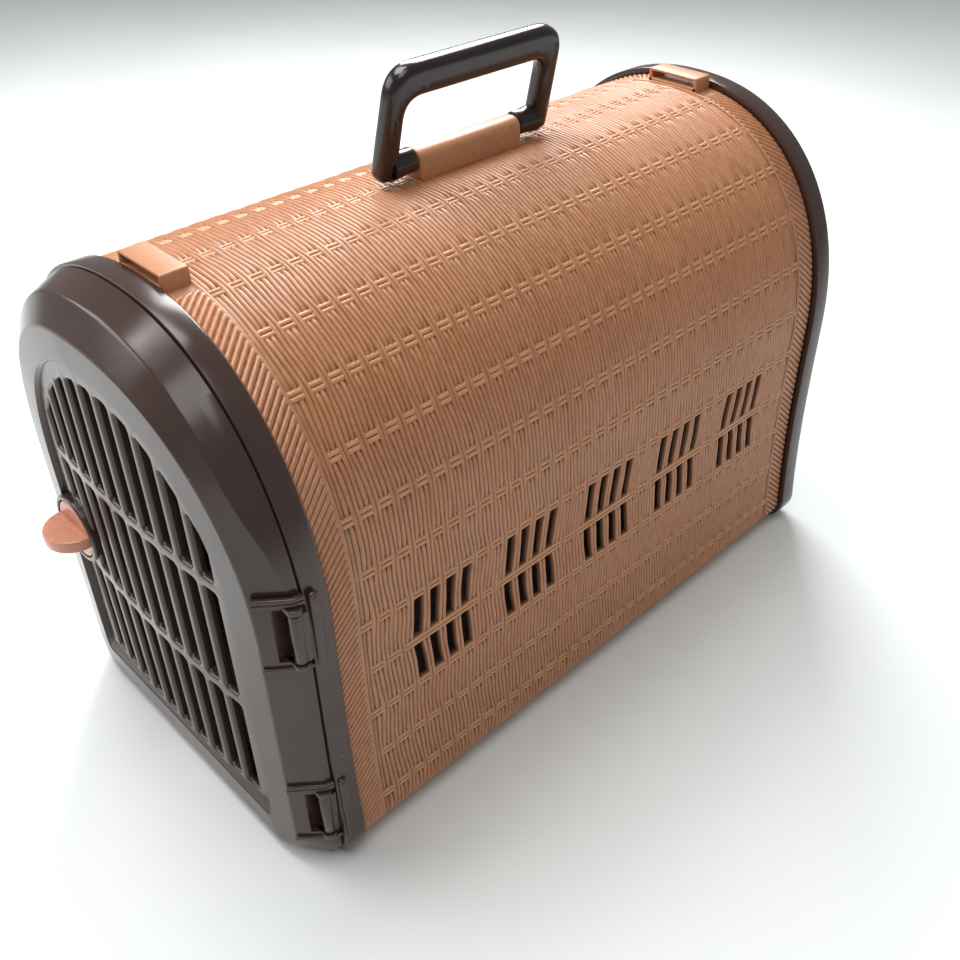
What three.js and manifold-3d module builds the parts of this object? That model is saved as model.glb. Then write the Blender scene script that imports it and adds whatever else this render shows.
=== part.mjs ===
// A pet carrier: an arched moulded shell with ventilation slots, a dark front frame with a hinged
// grille door, a rotary latch, a closed rear cover, and a folding carrying handle on the crown.
// Millimetres. +Z is up, the door faces -Y, its hinges are on the +X side. The origin is the middle
// of the footprint, on the surface that the carrier stands on.
import * as THREE from "three";
import { mergeVertices } from "three/addons/utils/BufferGeometryUtils.js";
import Module from "manifold-3d";

const wasm = await Module();
wasm.setup();

// ---- Driving dimensions ----

// Arched cross-section of the shell, in X and Z
const HALF_WIDTH = 130; // at the springing line of the arch
const SPRING_Z = 178;
const CROWN_Z = 333;
const SHELL_BOTTOM_Z = 3;
const ARCH_POWER = 2.3; // 2 would be an ellipse
const SHELL_FLARE = 8; // extra half-width that the sides gain towards the floor
const BOTTOM_CORNER_R = 18;
const WALL = 3;
const PLAY = 0.3; // gap between pieces that touch

// Stations along Y
const DOOR_PARTING_Y = -215.6;
const FRAME_FRONT_Y = -215;
const FRAME_BACK_Y = -201;
const COVER_FRONT_Y = 238;
const COVER_BACK_Y = 260;
const BODY_MIDDLE_Y = (FRAME_BACK_Y + COVER_FRONT_Y) / 2;

// Front frame and rear cover
const FRAME_PROUD = 3.5;
const COVER_PROUD = 5;
const FLANGE_THICKNESS = 3;
const FLANGE_INSET = 19;
const BOSS_INSET = 11;
const BOSS_R = 5.5;
const BOSS_LENGTH = 15;
const SCREW_HEAD_R = 4;
const SCREW_HEAD_HEIGHT = 2;
const SCREW_SHANK_R = 1.75;

// Side vents: groups of slanted slots in two rows
const VENT_PITCH = 12;
const VENT_FIRST_Y = -144;
const VENT_GROUPS = 5;
const VENT_GROUP_PITCH = 6 * VENT_PITCH;
const VENTS_IN_GROUP = 4;
const VENT_WIDTH = 6.8;
const VENT_ROWS = [
  { low: 101.5, high: 129.3, lean: -1.4 },
  { low: 135.5, high: 163, lean: 0.9 },
];

// Door
const DOOR_GROW = 1.7;
const DOOR_FLARE = 3;
const DOOR_BOTTOM_Z = 1;
// Where the door's side wall turns into its chamfer: how deep the wall is there, and how far the edge
// has moved from the wall towards the face. The wall is shallow low down and deep over the crown.
const DOOR_EDGE_LOW = { depth: 4.8, share: 0.06 };
const DOOR_EDGE_HIGH = { depth: 16, share: 0.31 };
const DOOR_EDGE_RISE = { from: 205, to: 285 }; // the heights between which it changes
const FACE_HALF_WIDTH = 118;
const FACE_TOP_Z = 311;
const FACE_BOTTOM_Z = 10;
const FACE_EDGE_Y = -236.4;
const FACE_BULGE = 10;
const GRILLE_MIDDLE_Y = -240.5;
const GRILLE_CURVE = 5.1e-4; // how fast the grille falls back either side of the middle, per mm
const DOOR_CAVITY_Y = -232.5;
const RECESS_HALF_WIDTH = 99;
const RECESS_TOP_Z = 293;
const RECESS_BOTTOM_Z = 29;
const SLOT_COLUMNS = 10;
const SLOT_PITCH = 17.4;
const SLOT_WIDTH = 11.2;
const SLOT_ROWS = [
  { low: 39.5, high: 114.4 },
  { low: 122.4, high: 199 },
  { low: 207, high: 283 },
];
const SLOT_CORNER = 2.5;

// Hinges, on the +X side
const HINGE_X = 131;
const HINGE_Y = -221;
const HINGE_PIN_R = 2;
const HINGE_BORE_R = 2.3;
const BARREL_R = 3.6;
const EAR_R = 4.4;
const EAR_HEIGHT = 3.5;
const HINGE_RELIEF_R = 5.3;
const HINGE_POCKET = 8.5; // reach of the pocket from the hinge axis
const POCKET_WALL = 2;
const POCKET_BACK_GAP = 3.5; // room for the heads of the frame's screws
const HINGES = { upper: { low: 171, high: 213 }, lower: { low: 28, high: 70 } };
const CLIP_THICKNESS = 1.6;

// Latch
const LATCH_X = -88;
const LATCH_Z = 142;
const KNOB_R = 19.5;
const KNOB_FRONT_Y = -240.4;
const KNOB_SEAT_Y = -237.4;
const FIN_THICKNESS = 9;
const FIN_FRONT_Y = -260;
const SPINDLE_R = 5.2;
const CAM_FRONT_Y = -211.3;
const CAM_THICKNESS = 3;
const CAM_REACH = 28;
const CAM_WIDTH = 12;
const SQUARE = 6;

// Handle
const PIVOT_Z = 345;
const HANDLE_LEAN_DEG = 14; // towards +X, as it lies at rest
const HANDLE_HALF_LENGTH = 68.5;
const HANDLE_TAPER = 2.5;
const HANDLE_LEG_WIDTH = 13;
const HANDLE_TOP = 61;
const GRIP_HEIGHT = 19;
const HANDLE_FOOT = 7;
const HANDLE_THICKNESS = 12.5;
const HANDLE_BOSS_R = 7.6;
const BLOCK_HALF_LENGTH = 41;
const BLOCK_HALF_WIDTH = 8.2;
const BLOCK_CORNER_R = 7;
const BLOCK_TOP_Z = 351.2;
const PIVOT_R = 2.5;
const PLATE_THICKNESS = 2;
const PLATE_HALF_WIDTH = 10;
const PLATE_HALF_LENGTH = 38;

// Strap loops
const LOOP_WIDTH = 42;
const LOOP_LENGTH = 16;
const LOOP_TOP_Z = 341.3;
const LOOP_SLOT = { width: 36.6, low: 334.7, high: 339.5 };

// ---- Solids ----

function solid(geometry) {
  const bare = geometry.index ? geometry.toNonIndexed() : geometry.clone();
  bare.deleteAttribute("normal");
  bare.deleteAttribute("uv");
  const merged = mergeVertices(bare, 1e-4);
  return new wasm.Manifold(
    new wasm.Mesh({
      numProp: 3,
      vertProperties: merged.attributes.position.array,
      triVerts: new Uint32Array(merged.index.array),
    }),
  );
}

function geometryOf(manifold) {
  const mesh = manifold.getMesh();
  const geometry = new THREE.BufferGeometry();
  geometry.setAttribute("position", new THREE.BufferAttribute(mesh.vertProperties, 3));
  geometry.setIndex(new THREE.BufferAttribute(mesh.triVerts, 1));
  const flat = geometry.toNonIndexed();
  flat.computeVertexNormals();
  return flat;
}

const join = (first, ...others) => others.reduce((all, next) => all.add(next), first);
const cut = (first, ...tools) => tools.reduce((left, tool) => left.subtract(tool), first);

function box([x0, y0, z0], [x1, y1, z1]) {
  const geometry = new THREE.BoxGeometry(x1 - x0, y1 - y0, z1 - z0);
  geometry.translate((x0 + x1) / 2, (y0 + y1) / 2, (z0 + z1) / 2);
  return solid(geometry);
}

function cylinderAlongY(x, z, radius, y0, y1, sides = 24) {
  const geometry = new THREE.CylinderGeometry(radius, radius, y1 - y0, sides);
  geometry.translate(x, (y0 + y1) / 2, z);
  return solid(geometry);
}

function cylinderAlongZ(x, y, radius, z0, z1, sides = 20) {
  const geometry = new THREE.CylinderGeometry(radius, radius, z1 - z0, sides);
  geometry.rotateX(Math.PI / 2);
  geometry.translate(x, y, (z0 + z1) / 2);
  return solid(geometry);
}

// Extrudes an outline given in X and Z from y0 to y1.
function extrudeAlongY(points, y0, y1) {
  const geometry = new THREE.ExtrudeGeometry(new THREE.Shape(points), {
    depth: y1 - y0,
    bevelEnabled: false,
  });
  geometry.rotateX(Math.PI / 2);
  geometry.translate(0, y1, 0);
  return solid(geometry);
}

// Joins rings of equal count into a closed skin. Each ring runs anticlockwise seen from -Y, and the
// rings go from the back to the front. `back` and `front` are the points that the end fans meet in.
function loft(rings, back, front) {
  const count = rings[0].length;
  const corners = [back, ...rings.flat(), front];
  const index = [];
  for (let i = 0; i < count; i++) {
    const j = (i + 1) % count;
    index.push(0, 1 + j, 1 + i);
    for (let r = 0; r < rings.length - 1; r++) {
      const here = 1 + r * count;
      const next = here + count;
      index.push(here + i, here + j, next + j, here + i, next + j, next + i);
    }
    const last = 1 + (rings.length - 1) * count;
    index.push(last + i, last + j, corners.length - 1);
  }
  const geometry = new THREE.BufferGeometry();
  geometry.setAttribute("position", new THREE.Float32BufferAttribute(corners.flat(), 3));
  geometry.setIndex(index);
  return solid(geometry);
}

// ---- Outlines, in X and Z ----

const ARCH_STEPS = 14;
const CORNER_STEPS = 4;
const SIDE_STEPS = 4;

// Right half of an arch with a rounded bottom corner, from the bottom up to just before the crown.
function rightHalf({ halfWidth, crown, bottom, flare, corner }) {
  const side = (z) => halfWidth + flare * Math.max(0, (SPRING_Z - z) / SPRING_Z) ** 3;
  const cornerTop = bottom + corner;
  const cornerX = side(cornerTop) - corner;
  const points = [];
  for (let i = 0; i < CORNER_STEPS; i++) {
    const angle = ((i / CORNER_STEPS) * Math.PI) / 2;
    points.push([cornerX + corner * Math.sin(angle), cornerTop - corner * Math.cos(angle)]);
  }
  for (let i = 0; i < SIDE_STEPS; i++) {
    const z = cornerTop + ((SPRING_Z - cornerTop) * i) / SIDE_STEPS;
    points.push([side(z), z]);
  }
  for (let i = 0; i < ARCH_STEPS; i++) {
    const angle = ((i / ARCH_STEPS) * Math.PI) / 2;
    const x = halfWidth * Math.cos(angle) ** (2 / ARCH_POWER);
    const z = SPRING_Z + (crown - SPRING_Z) * Math.sin(angle) ** (2 / ARCH_POWER);
    points.push([x, z]);
  }
  return points;
}

// Whole outline, anticlockwise seen from -Y with +X to the right.
function archOutline(form) {
  const right = rightHalf(form);
  const left = right.map(([x, z]) => [-x, z]).reverse();
  return [...right, [0, form.crown], ...left];
}

// The shell's outline grown outwards by `grow`, with its bottom at `bottom`.
const shellForm = (grow, bottom = SHELL_BOTTOM_Z - grow) => ({
  halfWidth: HALF_WIDTH + grow,
  crown: CROWN_Z + grow,
  bottom,
  flare: SHELL_FLARE,
  corner: Math.max(BOTTOM_CORNER_R + grow, 4),
});
const shellOutline = (grow, bottom) =>
  archOutline(shellForm(grow, bottom)).map(([x, z]) => new THREE.Vector2(x, z));

// Where the fixing screws sit: two beside the lower corners and two up on the arch.
const LOWER_SCREW_Z = 48;
const UPPER_SCREW_ANGLE = 0.85;
function fixingPoints(inset = BOSS_INSET) {
  const upper = [
    (HALF_WIDTH - inset) * Math.cos(UPPER_SCREW_ANGLE) ** (2 / ARCH_POWER),
    SPRING_Z + (CROWN_Z - SPRING_Z - inset) * Math.sin(UPPER_SCREW_ANGLE) ** (2 / ARCH_POWER),
  ];
  const lower = [HALF_WIDTH + SHELL_FLARE / 3 - inset, LOWER_SCREW_Z];
  return [lower, upper, [-upper[0], upper[1]], [-lower[0], lower[1]]];
}

// ---- Shell, frame and cover ----

const SHELL_FRONT_Y = FRAME_FRONT_Y + FLANGE_THICKNESS + PLAY;
const SHELL_BACK_Y = COVER_BACK_Y - 8 - PLAY;

function vents() {
  const tools = [];
  for (let group = 0; group < VENT_GROUPS; group++) {
    for (let slot = 0; slot < VENTS_IN_GROUP; slot++) {
      const y = VENT_FIRST_Y + group * VENT_GROUP_PITCH + slot * VENT_PITCH;
      for (const { low, high, lean } of VENT_ROWS) {
        const outline = [
          [y - VENT_WIDTH / 2 - lean, low],
          [y + VENT_WIDTH / 2 - lean, low],
          [y + VENT_WIDTH / 2 + lean, high],
          [y - VENT_WIDTH / 2 + lean, high],
        ].map(([u, z]) => new THREE.Vector2(u, z));
        const geometry = new THREE.ExtrudeGeometry(new THREE.Shape(outline), {
          depth: 2 * (HALF_WIDTH + SHELL_FLARE),
          bevelEnabled: false,
        });
        geometry.rotateX(Math.PI / 2);
        geometry.rotateZ(Math.PI / 2);
        geometry.translate(-(HALF_WIDTH + SHELL_FLARE), 0, 0);
        tools.push(solid(geometry));
      }
    }
  }
  return tools;
}

function bosses(y0, y1, boreY0, boreY1) {
  const near = fixingPoints(BOSS_INSET);
  const root = fixingPoints(BOSS_R + PLAY);
  const posts = near.map(([x, z], i) =>
    join(
      cylinderAlongY(x, z, BOSS_R, y0, y1),
      cylinderAlongY(root[i][0], root[i][1], BOSS_R, y0, y1),
    ),
  );
  const bores = near.map(([x, z]) =>
    cylinderAlongY(x, z, SCREW_SHANK_R + PLAY, boreY0, boreY1, 12),
  );
  return { posts, bores };
}

// Holes for the screws that hold the handle block to the crown.
const HANDLE_SCREW_SPOTS = [-1, 1].flatMap((sx) =>
  [-1, 1].map((sy) => [sx * 4, BODY_MIDDLE_Y + sy * 28]),
);
const HANDLE_SCREW_R = 1.6;

function bodyShell() {
  const outer = extrudeAlongY(shellOutline(0), SHELL_FRONT_Y, SHELL_BACK_Y);
  const inner = extrudeAlongY(shellOutline(-WALL), SHELL_FRONT_Y - 1, SHELL_BACK_Y + 1);
  const front = bosses(SHELL_FRONT_Y, SHELL_FRONT_Y + BOSS_LENGTH, SHELL_FRONT_Y - 1, SHELL_FRONT_Y + 12);
  const back = bosses(SHELL_BACK_Y - BOSS_LENGTH, SHELL_BACK_Y, SHELL_BACK_Y - 12, SHELL_BACK_Y + 1);
  const handleHoles = HANDLE_SCREW_SPOTS.map(([x, y]) =>
    cylinderAlongZ(x, y, HANDLE_SCREW_R + PLAY, CROWN_Z - 10, CROWN_Z + 2, 12),
  );
  return cut(
    join(cut(outer, inner), ...front.posts, ...back.posts),
    ...front.bores,
    ...back.bores,
    ...vents(),
    ...handleHoles,
  );
}

function frontFrame() {
  const outer = extrudeAlongY(shellOutline(FRAME_PROUD, 0), FRAME_FRONT_Y, FRAME_BACK_Y);
  const pocket = extrudeAlongY(shellOutline(PLAY), FRAME_FRONT_Y + FLANGE_THICKNESS, FRAME_BACK_Y + 1);
  const opening = extrudeAlongY(shellOutline(-FLANGE_INSET), FRAME_FRONT_Y - 1, FRAME_BACK_Y);
  const holes = fixingPoints().map(([x, z]) =>
    cylinderAlongY(x, z, SCREW_SHANK_R + PLAY, FRAME_FRONT_Y - 1, FRAME_BACK_Y, 12),
  );
  return cut(outer, pocket, opening, ...holes);
}

const ring = (form, y) => archOutline(form).map(([x, z]) => [x, y, z]);
const COVER_CHAMFER = 8;

function rearCover() {
  const chamferY = COVER_BACK_Y - COVER_CHAMFER;
  const outline = shellForm(COVER_PROUD, 0);
  const backFace = { ...shellForm(COVER_PROUD - COVER_CHAMFER), flare: SHELL_FLARE - 2 };
  const outer = loft(
    [ring(backFace, COVER_BACK_Y), ring(outline, chamferY), ring(outline, COVER_FRONT_Y)],
    [0, COVER_BACK_Y, SPRING_Z],
    [0, COVER_FRONT_Y, SPRING_Z],
  );
  const pocket = extrudeAlongY(shellOutline(PLAY), COVER_FRONT_Y - 1, SHELL_BACK_Y + PLAY);
  const dish = extrudeAlongY(shellOutline(-FLANGE_INSET), COVER_FRONT_Y, COVER_BACK_Y - WALL);
  const holes = fixingPoints().flatMap(([x, z]) => [
    cylinderAlongY(x, z, SCREW_SHANK_R + PLAY, COVER_FRONT_Y, COVER_BACK_Y + 1, 12),
    cylinderAlongY(x, z, SCREW_HEAD_R + PLAY, COVER_BACK_Y - SCREW_HEAD_HEIGHT - PLAY, COVER_BACK_Y + 1, 16),
  ]);
  return cut(outer, pocket, dish, ...holes);
}

// A pan-head screw whose head sits at `headY` and whose shank runs the way `dir` points along Y.
function screwAlongY(x, z, headY, dir, length) {
  const span = (a, b) => [Math.min(a, b), Math.max(a, b)];
  const head = cylinderAlongY(x, z, SCREW_HEAD_R, ...span(headY, headY - dir * SCREW_HEAD_HEIGHT), 16);
  const shank = cylinderAlongY(x, z, SCREW_SHANK_R, ...span(headY - dir * 0.5, headY + dir * length), 12);
  return join(head, shank);
}

// ---- Door ----

// Top of the grille slots at x: it follows the arch of the door.
function slotCeiling(x) {
  return SLOT_ROWS[2].high - 31 * (Math.abs(x) / 68) ** 2.4;
}

const faceForm = {
  halfWidth: FACE_HALF_WIDTH,
  crown: FACE_TOP_Z,
  bottom: FACE_BOTTOM_Z,
  flare: 0,
  corner: 18,
};
const doorForm = (grow) => ({
  halfWidth: HALF_WIDTH + DOOR_GROW + grow,
  crown: CROWN_Z + DOOR_GROW + grow,
  bottom: DOOR_BOTTOM_Z - grow,
  flare: DOOR_FLARE,
  corner: BOTTOM_CORNER_R + grow,
});

// The bulging front of the door, and the flatter grille sunk into it.
function faceY(x, z) {
  const across = 1 - (x / FACE_HALF_WIDTH) ** 2;
  const up = 1 - 0.45 * Math.min(1, Math.max(0, (z - 60) / 250));
  return FACE_EDGE_Y - FACE_BULGE * across * up;
}
const grilleY = (x) => GRILLE_MIDDLE_Y + GRILLE_CURVE * x * x;

// Shrinks an outline towards the middle of the door and lays it on a surface y(x, z).
function ringOnSurface(form, share, surface) {
  return archOutline(form).map(([x, z]) => {
    const sx = x * share;
    const sz = SPRING_Z + (z - SPRING_Z) * share;
    return [sx, surface(sx, sz), sz];
  });
}

// The edge between the door's side wall and its chamfer, from one outline to another.
function edgeRing(sideForm, frontForm, inwards) {
  const front = archOutline(frontForm);
  return archOutline(sideForm).map(([x, z], i) => {
    const rise = THREE.MathUtils.smoothstep(z, DOOR_EDGE_RISE.from, DOOR_EDGE_RISE.to);
    const share = THREE.MathUtils.lerp(DOOR_EDGE_LOW.share, DOOR_EDGE_HIGH.share, rise);
    const depth = THREE.MathUtils.lerp(DOOR_EDGE_LOW.depth, DOOR_EDGE_HIGH.depth, rise);
    const [frontX, frontZ] = front[i];
    return [x + (frontX - x) * share, DOOR_PARTING_Y - depth + inwards, z + (frontZ - z) * share];
  });
}

function doorOuter() {
  const rings = [
    ring(doorForm(0), DOOR_PARTING_Y),
    edgeRing(doorForm(0), faceForm, 0),
    ...[1, 0.8, 0.6, 0.4, 0.2].map((share) => ringOnSurface(faceForm, share, faceY)),
  ];
  return loft(rings, [0, DOOR_PARTING_Y, SPRING_Z], [0, faceY(0, SPRING_Z), SPRING_Z]);
}

function doorCavity() {
  const mouth = doorForm(-WALL);
  const floor = {
    ...faceForm,
    halfWidth: FACE_HALF_WIDTH - WALL,
    crown: FACE_TOP_Z - WALL,
    bottom: FACE_BOTTOM_Z + WALL,
  };
  return loft(
    [ring(mouth, DOOR_PARTING_Y + 1), edgeRing(mouth, floor, 2), ring(floor, DOOR_CAVITY_Y)],
    [0, DOOR_PARTING_Y + 1, SPRING_Z],
    [0, DOOR_CAVITY_Y, SPRING_Z],
  );
}

// The space above the sunken grille.
function grilleRecess() {
  const form = {
    halfWidth: RECESS_HALF_WIDTH,
    crown: RECESS_TOP_Z,
    bottom: RECESS_BOTTOM_Z,
    flare: 0,
    corner: 6,
  };
  const floor = [0.25, 0.5, 0.75, 1].map((share) => ringOnSurface(form, share, grilleY));
  return loft(
    [...floor, ring(form, FIN_FRONT_Y)],
    [0, grilleY(0), SPRING_Z],
    [0, FIN_FRONT_Y, SPRING_Z],
  );
}

function slotOutline(x, low, high) {
  const left = x - SLOT_WIDTH / 2;
  const right = x + SLOT_WIDTH / 2;
  const top = (side) => Math.min(high, slotCeiling(side));
  const c = SLOT_CORNER;
  return [
    [left + c, low],
    [right - c, low],
    [right, low + c],
    [right, top(right) - c],
    [right - c, top(right - c)],
    [left + c, top(left + c)],
    [left, top(left) - c],
    [left, low + c],
  ].map(([u, z]) => new THREE.Vector2(u, z));
}

const KNOB_SEAT_R = KNOB_R + 0.7;
const KNOB_BOSS_R = KNOB_R + 4;

function grilleSlots() {
  const tools = [];
  for (let column = 0; column < SLOT_COLUMNS; column++) {
    const x = (column - (SLOT_COLUMNS - 1) / 2) * SLOT_PITCH;
    for (const { low, high } of SLOT_ROWS) {
      const besideKnob = column === 0 && low < LATCH_Z && high > LATCH_Z;
      const from = besideKnob ? LATCH_Z + KNOB_BOSS_R + 3 : low;
      tools.push(extrudeAlongY(slotOutline(x, from, high), FIN_FRONT_Y, DOOR_CAVITY_Y + 1));
    }
  }
  return tools;
}

// Ears that hold a hinge pin, and the pocket that the fixed barrel turns in.
function hingeEars({ low, high }) {
  const ear = (z) =>
    join(
      cylinderAlongZ(HINGE_X, HINGE_Y, EAR_R, z, z + EAR_HEIGHT),
      box([HINGE_X - 13, HINGE_Y - EAR_R, z], [HINGE_X, HINGE_Y + EAR_R, z + EAR_HEIGHT]),
    );
  return join(ear(low), ear(high - EAR_HEIGHT));
}
function hingePocket({ low, high }) {
  return box(
    [HINGE_X - HINGE_POCKET, HINGE_Y - HINGE_POCKET, low + EAR_HEIGHT],
    [HINGE_X + 12, DOOR_PARTING_Y + 1, high - EAR_HEIGHT],
  );
}

// Thickening behind the pocket, which closes it towards the inside of the door.
function pocketWalls({ low, high }) {
  const reach = HINGE_POCKET + POCKET_WALL;
  return box(
    [HINGE_X - reach, HINGE_Y - reach, low + 0.5],
    [HINGE_X + 12, DOOR_PARTING_Y - POCKET_BACK_GAP, high - 0.5],
  ).intersect(doorOuter());
}

// Material of the door's back edge that would foul the frame as the door swings.
function hingeRelief() {
  return cut(
    box([HINGE_X, HINGE_Y, -1], [HINGE_X + 12, DOOR_PARTING_Y + 1, SPRING_Z + 60]),
    cylinderAlongZ(HINGE_X, HINGE_Y, HINGE_RELIEF_R, -2, SPRING_Z + 61, 32),
  );
}

function doorPanel() {
  const knobBoss = cylinderAlongY(LATCH_X, LATCH_Z, KNOB_BOSS_R, KNOB_FRONT_Y, DOOR_CAVITY_Y - 1, 32);
  const pins = Object.values(HINGES).map(({ low, high }) =>
    cylinderAlongZ(HINGE_X, HINGE_Y, HINGE_BORE_R, low - 1, high + 1, 16),
  );
  const shell = cut(doorOuter(), doorCavity(), grilleRecess(), ...grilleSlots());
  const hinges = Object.values(HINGES);
  const pocketed = cut(join(shell, ...hinges.map(pocketWalls)), ...hinges.map(hingePocket));
  return cut(
    join(pocketed, knobBoss, ...hinges.map(hingeEars)),
    cylinderAlongY(LATCH_X, LATCH_Z, KNOB_SEAT_R, FIN_FRONT_Y, KNOB_SEAT_Y, 40),
    cylinderAlongY(LATCH_X, LATCH_Z, SPINDLE_R + PLAY, FIN_FRONT_Y, DOOR_PARTING_Y, 24),
    hingeRelief(),
    ...pins,
  );
}

// ---- Hinge hardware ----

const hingePin = ({ low, high }) =>
  cylinderAlongZ(HINGE_X, HINGE_Y, HINGE_PIN_R, low + 0.5, high - 0.5, 16);

// Fixed half of a hinge: a pad on the frame's side, two arms and the barrel round the pin.
function hingeClip({ low, high }) {
  const barrelLow = low + EAR_HEIGHT + 1;
  const barrelHigh = high - EAR_HEIGHT - 1;
  const padLow = low - 3;
  const flare = SHELL_FLARE * Math.max(0, 1 - padLow / SPRING_Z) ** 3;
  const padOut = HALF_WIDTH + FRAME_PROUD + flare + PLAY + CLIP_THICKNESS;
  const pad = cut(
    box([HINGE_X + 2, FRAME_FRONT_Y - 1, padLow], [padOut, FRAME_BACK_Y - 3, high + 5]),
    extrudeAlongY(shellOutline(FRAME_PROUD + PLAY, -1), FRAME_FRONT_Y - PLAY, FRAME_BACK_Y),
  );
  const arm = box([HINGE_X + 0.5, HINGE_Y, barrelLow], [padOut - 1.2, FRAME_FRONT_Y - PLAY, barrelHigh]);
  const barrel = cylinderAlongZ(HINGE_X, HINGE_Y, BARREL_R, barrelLow, barrelHigh);
  return cut(
    join(pad, barrel, arm),
    cylinderAlongZ(HINGE_X, HINGE_Y, HINGE_BORE_R, barrelLow - 1, barrelHigh + 1, 16),
  );
}

// ---- Latch ----

function latchKnob() {
  const disc = cylinderAlongY(LATCH_X, LATCH_Z, KNOB_R, KNOB_FRONT_Y, KNOB_SEAT_Y - PLAY, 40);
  const spindle = cylinderAlongY(LATCH_X, LATCH_Z, SPINDLE_R, KNOB_SEAT_Y - 1, CAM_FRONT_Y - PLAY);
  const stub = box(
    [LATCH_X - SQUARE / 2, CAM_FRONT_Y - 1, LATCH_Z - SQUARE / 2],
    [LATCH_X + SQUARE / 2, CAM_FRONT_Y + CAM_THICKNESS - PLAY, LATCH_Z + SQUARE / 2],
  );
  const finGeometry = new THREE.CylinderGeometry(KNOB_R, KNOB_R, FIN_THICKNESS, 40);
  finGeometry.rotateX(Math.PI / 2);
  finGeometry.translate(LATCH_X, KNOB_FRONT_Y, LATCH_Z);
  const fin = solid(finGeometry).intersect(
    box([LATCH_X - KNOB_R, FIN_FRONT_Y, LATCH_Z - 10], [LATCH_X + KNOB_R, KNOB_FRONT_Y + 1, LATCH_Z + 10]),
  );
  const bore = cylinderAlongY(LATCH_X, LATCH_Z, SCREW_SHANK_R + PLAY, CAM_FRONT_Y - 12, CAM_FRONT_Y + 6, 12);
  return cut(join(disc, spindle, stub, fin), bore);
}

function latchCam() {
  const back = CAM_FRONT_Y + CAM_THICKNESS;
  const hub = cylinderAlongY(LATCH_X, LATCH_Z, 8, CAM_FRONT_Y, back);
  const tipZ = LATCH_Z + CAM_REACH - CAM_WIDTH / 2;
  const arm = box([LATCH_X - CAM_WIDTH / 2, CAM_FRONT_Y, LATCH_Z], [LATCH_X + CAM_WIDTH / 2, back, tipZ]);
  const tip = cylinderAlongY(LATCH_X, tipZ, CAM_WIDTH / 2, CAM_FRONT_Y, back);
  const half = SQUARE / 2 + PLAY;
  const hole = box([LATCH_X - half, CAM_FRONT_Y - 1, LATCH_Z - half], [LATCH_X + half, back + 1, LATCH_Z + half]);
  return cut(join(hub, arm, tip), hole);
}

const WASHER_THICKNESS = 1;
const washerFront = CAM_FRONT_Y + CAM_THICKNESS + PLAY;
const latchWasher = () =>
  cut(
    cylinderAlongY(LATCH_X, LATCH_Z, 6.5, washerFront, washerFront + WASHER_THICKNESS),
    cylinderAlongY(LATCH_X, LATCH_Z, SCREW_SHANK_R + PLAY, washerFront - 1, washerFront + 3, 12),
  );
const latchScrew = () =>
  screwAlongY(LATCH_X, LATCH_Z, washerFront + WASHER_THICKNESS + PLAY, -1, 14);

// ---- Handle ----

function roundedPolygon(corners) {
  const shape = new THREE.Path();
  const count = corners.length;
  corners.forEach(([x, y, r], i) => {
    const before = new THREE.Vector2(...corners[(i + count - 1) % count]);
    const after = new THREE.Vector2(...corners[(i + 1) % count]);
    const here = new THREE.Vector2(x, y);
    const entry = here.clone().add(before.sub(here).setLength(r));
    const exit = here.clone().add(after.sub(here).setLength(r));
    if (i === 0) shape.moveTo(entry.x, entry.y);
    else shape.lineTo(entry.x, entry.y);
    shape.quadraticCurveTo(x, y, exit.x, exit.y);
  });
  return shape.getPoints(6);
}

// The bail is drawn upright in Y and Z about its pivot, then leaned over.
function handleBail() {
  const top = HANDLE_HALF_LENGTH - HANDLE_TAPER;
  const inner = HANDLE_HALF_LENGTH - HANDLE_LEG_WIDTH;
  const under = HANDLE_TOP - GRIP_HEIGHT;
  const outline = roundedPolygon([
    [-HANDLE_HALF_LENGTH, -HANDLE_FOOT, 6],
    [-inner, -HANDLE_FOOT, 4],
    [-inner + 1, under, 10],
    [inner - 1, under, 10],
    [inner, -HANDLE_FOOT, 4],
    [HANDLE_HALF_LENGTH, -HANDLE_FOOT, 6],
    [top, HANDLE_TOP, 18],
    [-top, HANDLE_TOP, 18],
  ]);
  const bevel = 2.5;
  const geometry = new THREE.ExtrudeGeometry(new THREE.Shape(outline), {
    depth: HANDLE_THICKNESS - 2 * bevel,
    bevelThickness: bevel,
    bevelSize: bevel,
    bevelOffset: -bevel,
    bevelSegments: 2,
  });
  geometry.translate(0, 0, bevel - HANDLE_THICKNESS / 2);
  geometry.rotateX(Math.PI / 2);
  geometry.rotateZ(Math.PI / 2);
  const bosses = [-1, 1].map((side) => {
    const a = side * (BLOCK_HALF_LENGTH + 1);
    const b = side * (inner + 4);
    return cylinderAlongY(0, 0, HANDLE_BOSS_R, Math.min(a, b), Math.max(a, b));
  });
  const bore = cylinderAlongY(0, 0, PIVOT_R + PLAY, -(inner + 8), inner + 8, 16);
  return cut(join(solid(geometry), ...bosses), bore);
}

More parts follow.
